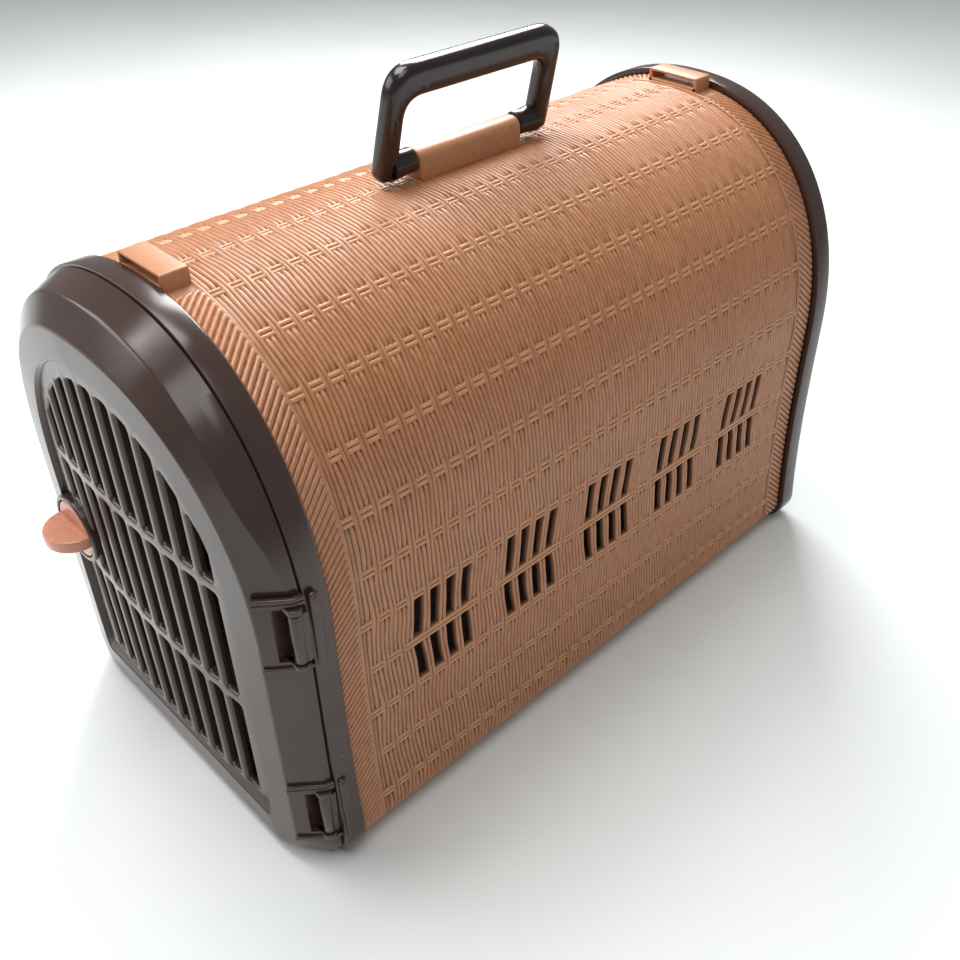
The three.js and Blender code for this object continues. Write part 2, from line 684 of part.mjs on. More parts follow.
function handleBlock() {
  const base = CROWN_Z + PLAY + 0.2;
  const corner = BLOCK_CORNER_R;
  const points = [
    [-BLOCK_HALF_WIDTH, base],
    [BLOCK_HALF_WIDTH, base],
  ];
  for (const side of [1, -1]) {
    for (let i = 0; i <= 5; i++) {
      const angle = (side > 0 ? i : 5 - i) * (Math.PI / 10);
      points.push([
        side * (BLOCK_HALF_WIDTH - corner + corner * Math.cos(angle)),
        BLOCK_TOP_Z - corner + corner * Math.sin(angle),
      ]);
    }
  }
  const y0 = BODY_MIDDLE_Y - BLOCK_HALF_LENGTH;
  const y1 = BODY_MIDDLE_Y + BLOCK_HALF_LENGTH;
  const bar = extrudeAlongY(points.map(([x, z]) => new THREE.Vector2(x, z)), y0, y1);
  const pinHole = (from, to) => cylinderAlongY(0, PIVOT_Z, PIVOT_R + PLAY, from, to, 16);
  const screwHoles = HANDLE_SCREW_SPOTS.map(([x, y]) =>
    cylinderAlongZ(x, y, HANDLE_SCREW_R + PLAY, base - 1, base + 10, 12),
  );
  return cut(bar, pinHole(y0 - 1, y0 + 16), pinHole(y1 - 16, y1 + 1), ...screwHoles);
}

// Pivot pin at one end of the block: side is -1 at the front and 1 at the back.
function handlePivot(side) {
  const a = BODY_MIDDLE_Y + side * (BLOCK_HALF_LENGTH - 15);
  const b = BODY_MIDDLE_Y + side * (HANDLE_HALF_LENGTH - HANDLE_LEG_WIDTH + 7);
  return cylinderAlongY(0, PIVOT_Z, PIVOT_R, Math.min(a, b), Math.max(a, b), 16);
}

const PLATE_TOP_Z = CROWN_Z - WALL - 0.9;
function handlePlate() {
  const plate = box(
    [-PLATE_HALF_WIDTH, BODY_MIDDLE_Y - PLATE_HALF_LENGTH, PLATE_TOP_Z - PLATE_THICKNESS],
    [PLATE_HALF_WIDTH, BODY_MIDDLE_Y + PLATE_HALF_LENGTH, PLATE_TOP_Z],
  );
  const holes = HANDLE_SCREW_SPOTS.map(([x, y]) =>
    cylinderAlongZ(x, y, HANDLE_SCREW_R + PLAY, PLATE_TOP_Z - 5, PLATE_TOP_Z + 1, 12),
  );
  return cut(plate, ...holes);
}

function handleScrew([x, y]) {
  const headTop = PLATE_TOP_Z - PLATE_THICKNESS - PLAY;
  return join(
    cylinderAlongZ(x, y, 3.2, headTop - 2, headTop, 16),
    cylinderAlongZ(x, y, HANDLE_SCREW_R, headTop - 0.5, CROWN_Z + 9, 12),
  );
}

// ---- Strap loops ----

function strapLoop(y0) {
  const y1 = y0 + LOOP_LENGTH;
  const half = LOOP_WIDTH / 2;
  const body = box([-half, y0, CROWN_Z + PLAY], [half, y1, LOOP_TOP_Z]);
  const slot = box(
    [-LOOP_SLOT.width / 2, y0 - 1, LOOP_SLOT.low],
    [LOOP_SLOT.width / 2, y1 + 1, LOOP_SLOT.high],
  );
  return cut(body, slot);
}

// ---- Assembly ----

const finish = (color, roughness, metalness = 0) =>
  new THREE.MeshStandardMaterial({ color, roughness, metalness });
const TAN = finish(0xbf8f70, 0.5);
const DARK = finish(0x40363a, 0.3);
const HANDLE_DARK = finish(0x32262a, 0.2);
const COPPER = finish(0xb9735a, 0.45);
const STEEL = finish(0xb0b0b0, 0.35, 1);

const carrier = new THREE.Group();

function add(name, shape, material, parent = carrier) {
  const mesh = new THREE.Mesh(geometryOf(shape), material);
  mesh.name = name;
  parent.add(mesh);
}

add("body_shell", bodyShell(), TAN);
add("front_frame", frontFrame(), DARK);
add("rear_cover", rearCover(), DARK);
fixingPoints().forEach(([x, z], i) => {
  add(`frame_screw_${i + 1}`, screwAlongY(x, z, FRAME_FRONT_Y - PLAY, 1, 13), STEEL);
  add(`cover_screw_${i + 1}`, screwAlongY(x, z, COVER_BACK_Y - SCREW_HEAD_HEIGHT, -1, 17), STEEL);
});

add("door_panel", doorPanel(), DARK);
for (const [name, hinge] of Object.entries(HINGES)) {
  add(`hinge_pin_${name}`, hingePin(hinge), STEEL);
  add(`hinge_clip_${name}`, hingeClip(hinge), DARK);
}

add("latch_knob", latchKnob(), COPPER);
add("latch_cam", latchCam(), DARK);
add("latch_washer", latchWasher(), STEEL);
add("latch_screw", latchScrew(), STEEL);

const handle = new THREE.Group();
handle.position.set(0, BODY_MIDDLE_Y, PIVOT_Z);
handle.rotation.y = THREE.MathUtils.degToRad(HANDLE_LEAN_DEG);
carrier.add(handle);
add("handle_bail", handleBail(), HANDLE_DARK, handle);
add("handle_block", handleBlock(), TAN);
add("handle_pivot_front", handlePivot(-1), STEEL);
add("handle_pivot_rear", handlePivot(1), STEEL);
add("handle_plate", handlePlate(), STEEL);
HANDLE_SCREW_SPOTS.forEach((spot, i) => add(`handle_screw_${i + 1}`, handleScrew(spot), STEEL));

add("strap_loop_front", strapLoop(FRAME_BACK_Y + 0.5), TAN);
add("strap_loop_rear", strapLoop(COVER_FRONT_Y - 0.5 - LOOP_LENGTH), TAN);

export default carrier;
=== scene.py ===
"""Looks of a pet carrier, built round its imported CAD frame. Lengths are millimetres until a mesh is made."""

import math

import bpy
import numpy as np
from mathutils import Matrix, Vector
from mathutils.geometry import delaunay_2d_cdt


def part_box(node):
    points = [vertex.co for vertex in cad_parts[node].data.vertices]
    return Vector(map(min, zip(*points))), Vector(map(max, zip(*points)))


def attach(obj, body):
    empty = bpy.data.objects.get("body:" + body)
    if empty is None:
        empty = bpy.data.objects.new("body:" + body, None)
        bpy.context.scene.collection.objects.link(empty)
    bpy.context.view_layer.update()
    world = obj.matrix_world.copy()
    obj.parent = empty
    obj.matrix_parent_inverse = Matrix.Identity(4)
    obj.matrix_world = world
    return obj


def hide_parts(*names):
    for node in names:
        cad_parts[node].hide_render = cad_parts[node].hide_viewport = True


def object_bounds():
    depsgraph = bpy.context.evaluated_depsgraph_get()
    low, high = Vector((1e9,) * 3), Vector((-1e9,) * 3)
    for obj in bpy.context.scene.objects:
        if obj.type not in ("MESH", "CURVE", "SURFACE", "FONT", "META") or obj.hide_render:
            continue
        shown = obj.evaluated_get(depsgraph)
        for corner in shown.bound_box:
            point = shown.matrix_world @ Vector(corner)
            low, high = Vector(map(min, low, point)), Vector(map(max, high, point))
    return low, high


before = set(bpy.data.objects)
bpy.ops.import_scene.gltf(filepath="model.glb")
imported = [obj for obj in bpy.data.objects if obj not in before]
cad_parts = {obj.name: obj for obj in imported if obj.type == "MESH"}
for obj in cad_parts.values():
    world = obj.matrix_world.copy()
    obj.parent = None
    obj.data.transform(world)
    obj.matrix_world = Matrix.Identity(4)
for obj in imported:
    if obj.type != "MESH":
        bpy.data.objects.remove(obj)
cad_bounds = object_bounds()

MM = 0.001


def span(node):
    """Lowest and highest corner of a CAD node, in millimetres."""
    low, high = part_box(node)
    return np.array(low) / MM, np.array(high) / MM


# ---- Driving dimensions ----

SHELL_LOW, SHELL_HIGH = span("body_shell")
FRAME_LOW, FRAME_HIGH = span("front_frame")
COVER_LOW, COVER_HIGH = span("rear_cover")
DOOR_LOW, DOOR_HIGH = span("door_panel")

HALF_WIDTH = 130
SPRING_Z = 178
CROWN_Z = SHELL_HIGH[2]
BOTTOM_Z = SHELL_LOW[2]
ARCH_POWER = 2.3
FLARE = 8
CORNER_R = 18
WALL = 3

PLY = 12  # two bundles of reeds
BUNDLE = PLY / 2
REED = BUNDLE / 2
COURSE = 34.2  # girth between two courses of cross rods
FIRST_MARK_Y = -144
WEAVE_FRONT_Y = -183
WEAVE_BACK_Y = 219
VENT_GROUPS = 5


# ---- Outlines of the arch ----


def resample(points, count):
    """count points spread evenly along an open line, its last point left out."""
    steps = np.linalg.norm(np.diff(points, axis=0), axis=1)
    along = np.concatenate([[0], np.cumsum(steps)])
    at = np.linspace(0, along[-1], count + 1)[:-1]
    return np.column_stack([np.interp(at, along, points[:, i]) for i in range(2)])


def arch_half(half_width, crown, bottom, flare, corner, corner_steps=8, side_steps=14, arch_steps=56):
    """Right half of an arch, from the floor up to just before the crown."""

    def side(z):
        return half_width + flare * np.maximum(0, (SPRING_Z - z) / SPRING_Z) ** 3

    turn = np.linspace(0, math.pi / 2, corner_steps + 1)[:-1]
    corner_z = bottom + corner
    corner_x = side(corner_z) - corner
    low = np.column_stack([corner_x + corner * np.sin(turn), corner_z - corner * np.cos(turn)])
    z = np.linspace(corner_z, SPRING_Z, side_steps + 1)[:-1]
    middle = np.column_stack([side(z), z])
    angle = np.linspace(0, math.pi / 2, 800)
    power = 2 / ARCH_POWER
    x = half_width * np.abs(np.cos(angle)) ** power
    z = SPRING_Z + (crown - SPRING_Z) * np.sin(angle) ** power
    x[-1] = 0
    return np.vstack([low, middle, resample(np.column_stack([x, z]), arch_steps)])


def arch_loop(form):
    """The whole arch, anticlockwise seen from the front, as points in X and Z."""
    right = arch_half(**form)
    left = right[::-1] * (-1, 1)
    return np.vstack([right, [[0, form["crown"]]], left])


def shell_form(grow, bottom=None):
    """The shell's outline, grown by a distance."""
    low = BOTTOM_Z - grow if bottom is None else bottom
    return {
        "half_width": HALF_WIDTH + grow,
        "crown": CROWN_Z + grow,
        "bottom": low,
        "flare": FLARE,
        "corner": max(CORNER_R + grow, 4),
    }


def blend_loops(a, b, share):
    return a * (1 - share) + b * share


def rounded(corners, radius, steps=5):
    """A closed loop through corners, each turned with a soft bend that starts radius away from it."""
    corners = np.array(corners, float)
    radii = np.broadcast_to(radius, len(corners))
    loop = []
    for i, here in enumerate(corners):
        before = corners[i - 1] - here
        after = corners[(i + 1) % len(corners)] - here
        entry = here + before / np.linalg.norm(before) * radii[i]
        leave = here + after / np.linalg.norm(after) * radii[i]
        for t in np.linspace(0, 1, steps + 1):
            loop.append((1 - t) ** 2 * entry + 2 * t * (1 - t) * here + t**2 * leave)
    return np.array(loop)


def anticlockwise(loop):
    return loop if np.cross(loop, np.roll(loop, -1, axis=0)).sum() > 0 else loop[::-1]


def grown(loop, distance):
    """An anticlockwise loop moved outwards by distance."""
    ahead = np.roll(loop, -1, axis=0) - loop
    ahead /= np.linalg.norm(ahead, axis=1)[:, None] + 1e-12
    after = np.column_stack([ahead[:, 1], -ahead[:, 0]])
    before = np.roll(after, 1, axis=0)
    bisector = before + after
    scale = 1 + (before * after).sum(1)
    return loop + distance * bisector / scale[:, None]


def finer(loop, step):
    """A closed loop with its long edges cut into steps."""
    points = []
    for here, after in zip(loop, np.roll(loop, -1, axis=0)):
        count = max(1, int(round(np.linalg.norm(after - here) / step)))
        for t in np.arange(count) / count:
            points.append(here * (1 - t) + after * t)
    return np.array(points)


# ---- Skins: points and faces that become one closed mesh ----


def inside(points, loop):
    """Which 2-D points are inside a closed loop."""
    x, y = points[:, :1], points[:, 1:]
    x0, y0 = loop.T
    x1, y1 = np.roll(loop, -1, axis=0).T
    rise = np.where(y1 == y0, 1e-9, y1 - y0)
    crossed = ((y0 > y) != (y1 > y)) & (x < (x1 - x0) * (y - y0) / rise + x0)
    return crossed.sum(1) % 2 == 1


def delaunay(points, edges):
    """Triangles between 2-D points that respect the edges, and each triangle's centre."""
    verts = [Vector(p) for p in points.tolist()]
    _, _, faces, origins, _, _ = delaunay_2d_cdt(verts, edges, [], 0, 1e-5)
    first = np.array([o[0] if o else -1 for o in origins])
    tris = first[np.array([f for f in faces if len(f) == 3])]
    tris = tris[(tris >= 0).all(1)]
    return tris, points[tris].mean(1)


def triangulate(points, loops):
    """Triangles that fill the plane between closed loops, as indices into points."""
    edges = [pair for loop in loops for pair in zip(loop.tolist(), np.roll(loop, -1).tolist())]
    tris, centres = delaunay(points, edges)
    crossings = sum(inside(centres, points[loop]).astype(int) for loop in loops)
    return tris[crossings % 2 == 1]


def grid_points(loop, spacing):
    """Points of a square grid that lie well inside a loop."""
    low, high = loop.min(0), loop.max(0)
    u, v = np.meshgrid(np.arange(low[0], high[0], spacing), np.arange(low[1], high[1], spacing))
    points = np.column_stack([u.ravel(), v.ravel()])
    return points[inside(points, loop)]


def away_from(points, others, distance):
    """The points that are at least distance from every other point."""
    near = np.zeros(len(points), bool)
    for start in range(0, len(others), 400):
        gap = np.linalg.norm(points[:, None] - others[None, start : start + 400], axis=2)
        near |= (gap < distance).any(1)
    return points[~near]


class Skin:
    """Points in millimetres, and the faces between them."""

    def __init__(self):
        self.points = []
        self.count = 0
        self.quads = []
        self.tris = []

    def add(self, points):
        points = np.asarray(points, float).reshape(-1, 3)
        self.points.append(points)
        self.count += len(points)
        return np.arange(self.count - len(points), self.count)

    def ring(self, outline, y):
        """Adds a loop drawn in X and Z, at one Y or with a Y for each point."""
        return self.add(np.column_stack([outline[:, 0], np.broadcast_to(y, len(outline)), outline[:, 1]]))

    def band(self, a, b):
        """Faces between two closed loops of the same count."""
        self.quads.append(np.column_stack([a, np.roll(a, -1), np.roll(b, -1), b]))

    def bands(self, loops, closed=False):
        for a, b in zip(loops, loops[1:] + (loops[:1] if closed else [])):
            self.band(a, b)

    def fan(self, loop, point):
        self.tris.append(np.column_stack([loop, np.roll(loop, -1), np.full(len(loop), point)]))

    def fill(self, tris, flip=False):
        self.tris.append(tris[:, ::-1] if flip else tris)

    def mesh(self, name, attributes=None):
        points = np.vstack(self.points)
        quads = np.vstack(self.quads) if self.quads else np.zeros((0, 4), int)
        tris = np.vstack(self.tris) if self.tris else np.zeros((0, 3), int)
        halves = np.vstack([quads[:, [0, 1, 2]], quads[:, [0, 2, 3]], tris])
        a, b, c = (points[halves[:, i]] for i in range(3))
        if (a * np.cross(b, c)).sum() < 0:
            quads, tris = quads[:, ::-1], tris[:, ::-1]
        mesh = bpy.data.meshes.new(name)
        mesh.vertices.add(len(points))
        mesh.vertices.foreach_set("co", (points * MM).ravel())
        corners = np.concatenate([quads.ravel(), tris.ravel()]).astype(np.int32)
        mesh.loops.add(len(corners))
        mesh.loops.foreach_set("vertex_index", corners)
        starts = np.concatenate([np.arange(len(quads)) * 4, len(quads) * 4 + np.arange(len(tris)) * 3])
        mesh.polygons.add(len(starts))
        mesh.polygons.foreach_set("loop_start", starts.astype(np.int32))
        mesh.update(calc_edges=True)
        for key, values in (attributes or {}).items():
            layer = mesh.attributes.new(key, "FLOAT", "POINT")
            layer.data.foreach_set("value", np.asarray(values, np.float32))
        mesh.validate()
        return mesh


def linked(name, data):
    """A new object in the scene."""
    obj = bpy.data.objects.new(name, data)
    bpy.context.scene.collection.objects.link(obj)
    return obj


def piece(name, shape, body, material, replaces=(), sharp_deg=40):
    """An object from a skin or a mesh in the row frame, riding on a CAD body."""
    mesh = shape.mesh(name) if isinstance(shape, Skin) else shape
    mesh.materials.append(material)
    mesh.shade_smooth()
    mesh.set_sharp_from_angle(angle=math.radians(sharp_deg))
    obj = linked(name, mesh)
    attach(obj, body)
    if replaces:
        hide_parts(*replaces)


def screw_places(kind):
    """X, Z and head radius of the four screws of a kind."""
    for i in range(4):
        low, high = span(f"{kind}_screw_{i + 1}")
        yield (low[0] + high[0]) / 2, (low[2] + high[2]) / 2, (high[0] - low[0]) / 2


def upright_at(x, z):
    """Places a lathe's profile round a line along Y."""
    return lambda u, v, h: (x + u, h, z + v)


def flat(height):
    """A slab's face at one height."""
    return lambda u, v: np.full(np.shape(u), float(height))


def lathe(profile, place, steps=64):
    """Turns a profile of (radius, height) about an axis; place maps (u, v, height) to a point."""
    skin = Skin()
    turn = np.arange(steps) * 2 * math.pi / steps
    loops = []
    for radius, height in profile:
        if radius > 0:
            ring = [place(radius * math.cos(t), radius * math.sin(t), height) for t in turn]
            loops.append(skin.add(ring))
        else:
            loops.append(skin.add([place(0, 0, height)])[0])
    for a, b in zip(loops, loops[1:]):
        if np.ndim(a) and np.ndim(b):
            skin.band(a, b)
        elif np.ndim(a):
            skin.fan(a, b)
        elif np.ndim(b):
            skin.fan(b[::-1], a)
    if np.ndim(loops[0]) and np.ndim(loops[-1]):
        skin.band(loops[-1], loops[0])
    return skin


def bend(radius, share):
    """How far a rounded edge has dropped, share of the way in from the edge (0) to the flat (1)."""
    return radius * (1 - math.sqrt(max(0, 1 - (1 - share) ** 2)))


BEND_SHARES = (0.0, 0.12, 0.35, 0.65, 1.0)


def rim_rings(skin, loop, way, face, radius, inward, place):
    """Rings that round an edge off, from the edge itself to where the face is flat."""
    rings = []
    for share in BEND_SHARES:
        inset = grown(loop, way * radius * share)
        height = face(inset[:, 0], inset[:, 1]) + inward * bend(radius, share)
        rings.append(skin.add(place(inset[:, 0], inset[:, 1], height)))
    return rings, inset


def cover_face(skin, rim, rim_loop, holes, face, radius, inward, place, spacing):
    """Fills a face inside rim, whose outline is rim_loop, round its holes. Returns each hole's rings."""
    rims = [rim_rings(skin, hole, 1, face, radius, inward, place) for hole in holes]
    flat_loops = [rim_loop] + [inset for _, inset in rims]
    rim_points = np.vstack(flat_loops)
    inner = away_from(grid_points(rim_loop, spacing), rim_points, spacing * 0.5)
    for hole in flat_loops[1:]:
        inner = inner[~inside(inner, hole)]
    points = np.vstack([rim_points, inner])
    starts = np.cumsum([0] + [len(loop) for loop in flat_loops])
    loops = [np.arange(a, b) for a, b in zip(starts, starts[1:])]
    tris = wound(points, triangulate(points, loops))
    inner_ids = skin.add(place(inner[:, 0], inner[:, 1], face(inner[:, 0], inner[:, 1])))
    ids = np.concatenate([rim] + [rings[-1] for rings, _ in rims] + [inner_ids])
    skin.fill(ids[tris], flip=inward == 1)
    return [rings for rings, _ in rims]


def slab(outline, holes, low, high, place, radius_low, radius_high, spacing):
    """A closed solid between two faces, with rounded edges round its outline and its holes.

    outline and holes are anticlockwise loops in u and v. low and high give the two faces' heights at
    u, v. place turns u, v and height into points."""
    skin = Skin()
    sides = []
    for face, radius, inward in ((high, radius_high, -1), (low, radius_low, 1)):
        rings, inset = rim_rings(skin, outline, -1, face, radius, inward, place)
        hole_rings = cover_face(skin, rings[-1], inset, holes, face, radius, inward, place, spacing)
        sides.append([rings] + hole_rings)
    join_sides(skin, *sides)
    return skin


def join_sides(skin, upper_sides, lower_sides, first_is_outline=True):
    """Closes a slab's edge and its holes between the rings of its two faces."""
    for k, (upper, lower) in enumerate(zip(upper_sides, lower_sides)):
        loops = lower[::-1] + upper
        skin.bands(loops if k == 0 and first_is_outline else loops[::-1])


def wound(points, tris):
    """The same triangles, all anticlockwise."""
    a, b, c = (points[tris[:, i]] for i in range(3))
    area = (b[:, 0] - a[:, 0]) * (c[:, 1] - a[:, 1]) - (b[:, 1] - a[:, 1]) * (c[:, 0] - a[:, 0])
    return np.where((area < 0)[:, None], tris[:, ::-1], tris)


def along_y(u, v, height):
    """u is X, v is Z, and height runs towards the front."""
    return np.column_stack([np.atleast_1d(u), -np.atleast_1d(height), np.atleast_1d(v)])


def level(y):
    """A flat face at that Y, for a slab made with along_y."""
    return flat(-y)


# ---- Materials ----


def linear(red, green, blue):
    """A linear colour from 8-bit sRGB values."""
    values = [c / 255 for c in (red, green, blue)]
    return [c / 12.92 if c <= 0.04045 else ((c + 0.055) / 1.055) ** 2.4 for c in values] + [1]


class Nodes:
    """Builds one material's node tree."""

    def __init__(self, name):
        self.material = bpy.data.materials.new(name)
        self.material.use_nodes = True
        self.tree = self.material.node_tree
        self.place = self.new("ShaderNodeTexCoord").outputs["Object"]

    def feed(self, node, inputs):
        """Sets each input of a node, or links it where its value comes from another node."""
        for key, value in inputs.items():
            if isinstance(value, bpy.types.NodeSocket):
                self.tree.links.new(value, node.inputs[key])
            else:
                node.inputs[key].default_value = value

    def new(self, kind, inputs=None, **settings):
        node = self.tree.nodes.new(kind)
        for key, value in settings.items():
            setattr(node, key, value)
        self.feed(node, inputs or {})
        return node

    def shade(self, colour, roughness, normal=None, **constants):
        """Feeds the material's shader and returns the material."""
        shader = self.tree.nodes["Principled BSDF"]
        self.feed(shader, {"Base Color": colour, "Roughness": roughness})
        self.feed(shader, {"Normal": normal} if normal else {})
        self.feed(shader, {key.replace("_", " "): value for key, value in constants.items()})
        return self.material

    def math(self, operation, a, b=0.0, clamp=False):
        return self.new("ShaderNodeMath", {0: a, 1: b}, operation=operation, use_clamp=clamp).outputs[0]

    def times(self, a, b):
        return self.math("MULTIPLY", a, b)

    def plus(self, a, b):
        return self.math("ADD", a, b)

    def mix(self, share, a, b):
        return self.new("ShaderNodeMix", {0: share, 6: a, 7: b}, data_type="RGBA").outputs[2]

    def stretched(self, scale, turn=(0, 0, 0)):
        inputs = {"Scale": scale, "Rotation": turn, "Vector": self.place}
        return self.new("ShaderNodeMapping", inputs).outputs[0]

    def noise(self, scale, detail=3.0, vector=None):
        inputs = {"Scale": scale, "Detail": detail, "Roughness": 0.55, "Vector": vector or self.place}
        return self.new("ShaderNodeTexNoise", inputs).outputs["Fac"]

    def between(self, value, low, high):
        """0 below low, 1 above high, smooth between."""
        inputs = {"From Min": low, "From Max": high, "Value": value}
        return self.new("ShaderNodeMapRange", inputs, interpolation_type="SMOOTHSTEP").outputs[0]

    def specks(self, scale, low):
        """Sparse small dots: dust."""
        node = self.new("ShaderNodeTexVoronoi", {"Scale": scale, "Vector": self.place})
        dots = self.between(self.math("SUBTRACT", 0.2, node.outputs["Distance"]), 0.0, 0.1)
        return self.times(dots, self.between(node.outputs["Color"], low, low + 0.02))

    def scratches(self, scale, turn, threshold=0.73):
        """Thin faint lines in one direction."""
        lines = self.noise(scale, 2, vector=self.stretched((1, 1, 22), turn))
        patches = self.noise(14, 1)
        return self.times(self.between(lines, threshold, threshold + 0.04), self.between(patches, 0.5, 0.6))

    def height(self):
        """Metres above the floor, at rest."""
        return self.new("ShaderNodeSeparateXYZ", {0: self.place}).outputs["Z"]

    def attribute(self, name):
        return self.new("ShaderNodeAttribute", attribute_name=name).outputs["Fac"]

    def bump(self, height, strength, distance, under=None):
        inputs = {"Strength": strength, "Distance": distance, "Height": height}
        return self.new("ShaderNodeBump", inputs | ({"Normal": under} if under else {})).outputs[0]


def tan_plastic(name, woven):
    """Satin tan plastic. Woven pieces also carry how high each point is, and which points are cross rods;
    their grooves, vent walls and insides are painted darker as shade, less so towards the crown.
    """
    n = Nodes(name)
    cloud = n.noise(9, 2)
    colour = n.mix(n.between(cloud, 0.35, 0.65), linear(187, 126, 86), linear(176, 117, 79))
    grain = n.noise(340, 4)
    colour = n.mix(n.between(grain, 0.3, 0.75), colour, linear(193, 133, 92))
    rough = n.plus(n.times(cloud, 0.12), 0.34 if woven else 0.33)
    if woven:
        streaks = n.noise(90, 3, vector=n.stretched((1, 6, 1)))
        colour = n.mix(n.times(n.between(streaks, 0.42, 0.7), 0.5), colour, linear(154, 98, 64))
        # Painted shade: low relief (grooves, vent walls, inner faces) is darkened towards deep brown; the same
        # depth also makes the surface rougher.
        depth = n.between(n.attribute("relief"), 0.84, 0.3)
        # The painted groove shade is weaker high up, where the crown is lit.
        faded = n.math("SUBTRACT", 0.95, n.times(n.between(n.height(), 0.2, 0.33), 0.45))
        colour = n.mix(n.times(depth, faded), colour, linear(62, 34, 20))
        colour = n.mix(n.times(n.attribute("rod"), 0.6), colour, linear(208, 152, 108))
        rough = n.plus(rough, n.times(depth, 0.4))
    return n.shade(colour, rough, n.bump(grain, 0.25, 0.0002), Specular_IOR_Level=0.8)


def dark_plastic(name, base, tint, rough, dust=0.35):
    """Glossy dark plastic with haze, fine scratches and a little dust."""
    n = Nodes(name)
    cloud = n.noise(11, 3)
    colour = n.mix(n.between(cloud, 0.35, 0.7), base, tint)
    colour = n.mix(n.times(n.specks(260, 0.93), dust), colour, linear(170, 165, 160))
    lines = n.math("MAXIMUM", n.scratches(120, (0.4, 0.3, 0.2)), n.scratches(100, (1.2, 0.9, 0.4), 0.75))
    colour = n.mix(n.times(lines, 0.25), colour, linear(140, 130, 128))
    haze = n.times(n.between(n.noise(26, 4), 0.4, 0.75), 0.1)
    roughness = n.math("ADD", n.plus(haze, rough), n.times(lines, 0.15), clamp=True)
    orange_peel = n.bump(n.noise(70, 2), 0.04, 0.0006)
    return n.shade(colour, roughness, n.bump(lines, 0.15, 0.0001, under=orange_peel), Specular_IOR_Level=0.6)


def copper_plastic():
    """Copper-coloured plastic with fine flow marks."""
    n = Nodes("copper_plastic")
    cloud = n.noise(30, 3)
    colour = n.mix(n.between(cloud, 0.35, 0.7), linear(208, 142, 117), linear(196, 131, 105))
    flow = n.noise(400, 3)
    colour = n.mix(n.between(flow, 0.45, 0.8), colour, linear(218, 156, 131))
    return n.shade(colour, n.plus(n.times(cloud, 0.15), 0.2), n.bump(flow, 0.12, 0.0001))


def steel():
    """Brushed steel."""
    n = Nodes("steel")
    brushed = n.noise(500, 3, vector=n.stretched((1, 1, 8)))
    colour = n.mix(n.between(brushed, 0.3, 0.7), linear(176, 176, 178), linear(148, 147, 148))
    roughness = n.plus(n.times(brushed, 0.2), 0.22)
    return n.shade(colour, roughness, n.bump(brushed, 0.1, 0.0001), Metallic=1)


TAN_WOVEN = tan_plastic("tan_woven", True)
TAN_SMOOTH = tan_plastic("tan_smooth", False)
DARK = dark_plastic("dark_plastic", linear(60, 43, 39), linear(68, 50, 46), 0.17)
HANDLE_DARK = dark_plastic("handle_plastic", linear(30, 18, 20), linear(38, 24, 25), 0.17, dust=0.2)
COPPER = copper_plastic()
STEEL = steel()


# ---- Woven shell ----


class Girth:
    """The shell's outline as one line: from the crown down a side, round the corner to the floor."""

    def __init__(self):
        half = arch_half(**shell_form(0), corner_steps=60, side_steps=120, arch_steps=400)
        self.path = np.vstack([half, [[0, CROWN_Z]]])[::-1]
        steps = np.linalg.norm(np.diff(self.path, axis=0), axis=1)
        self.along = np.concatenate([[0], np.cumsum(steps)])
        run = np.gradient(self.path, self.along, axis=0)
        self.normal = np.column_stack([-run[:, 1], run[:, 0]])
        self.normal[0] = (0, 1)
        self.normal /= np.linalg.norm(self.normal, axis=1)[:, None]

    def at(self, s, out, side):
        """X and Z of points at girth s, out millimetres outside the shell."""
        x, z, nx, nz = (
            np.interp(s, self.along, values)
            for values in (self.path[:, 0], self.path[:, 1], self.normal[:, 0], self.normal[:, 1])
        )
        return side * (x + nx * out), z + nz * out


girth = Girth()
CORNER_TURN = girth.along[-1] - CORNER_R * math.pi / 4  # the weave ends halfway round the corner
WEAVE_BASE = -0.35
WEAVE_END_FADE = 8
ROD_OFFSET = 1.55
ROD_R = 1.5
ROD_TOP = 0.95
ROD_HALF_LENGTH = 3.7
ROD_END_LENGTH = 0.9  # over which a rod's end drops
ROD_END_DROP = 1.6
ROD_REACH = 3.1
NO_ROD = -9
BAR_PROUD = 0.25  # of the rods
DIVE = 1.3
LIFT = 0.45
REED_HEIGHT = 1.3
REED_SHARE = 0.86  # of the pitch, the rest is groove
REED_VARIETY = 0.1
FADED_REED = 0.35  # share of a reed's height that is left at the ends of the weave
FADED_DROP = 0.2
RELIEF_DEPTH = 1.3  # what relief counts as its full depth and height
# Painted shade: the vent walls get low relief so the woven material colours them dark, more so at their inner
# edge.
WALL_SHADE = (0.6, 0.3)  # relief given to the walls of the vents, at their outer and inner edges
VENT_EDGE_TOP = 0.15  # the reeds end low at a vent's edge
VENT_HALF_WIDTH = 3.5
VENTS_IN_GROUP = 4
SHOULDER = (0.3, -0.4)  # a cut edge's walls start this far down, or at this depth where that is deeper
INNER_STEP = 7  # grid of the wall's inner face
VENT_COURSES = (7, 8)  # the vents lie under these courses of cross rods
BAR_COURSE = 8
SQUEEZE = 0.3  # how far a bundle's reeds close up where it passes over
ZIGZAG = 0.5  # how far the bundles step aside from one course to the next
BAR_ZIGZAG = 1.15  # the same beside the bars
SLOW_WAVES = ((0.35, 97, 230), (0.25, 43, -61))  # amplitude, and lengths in girth and in Y
BAR_OVERHANG = 8.6  # how far a bar runs past its first and last vents
COURSE_STATIONS = (0, 0.45, 0.95, 1.55, 2.2, 2.7, 3.1, 3.5, 4.2, 5.2, 6.5, 8.1, 10, 12.2, 14.6)


def vent_starts():
    """Y of the first vent in each group."""
    return [FIRST_MARK_Y + 6 * PLY * group for group in range(VENT_GROUPS)]


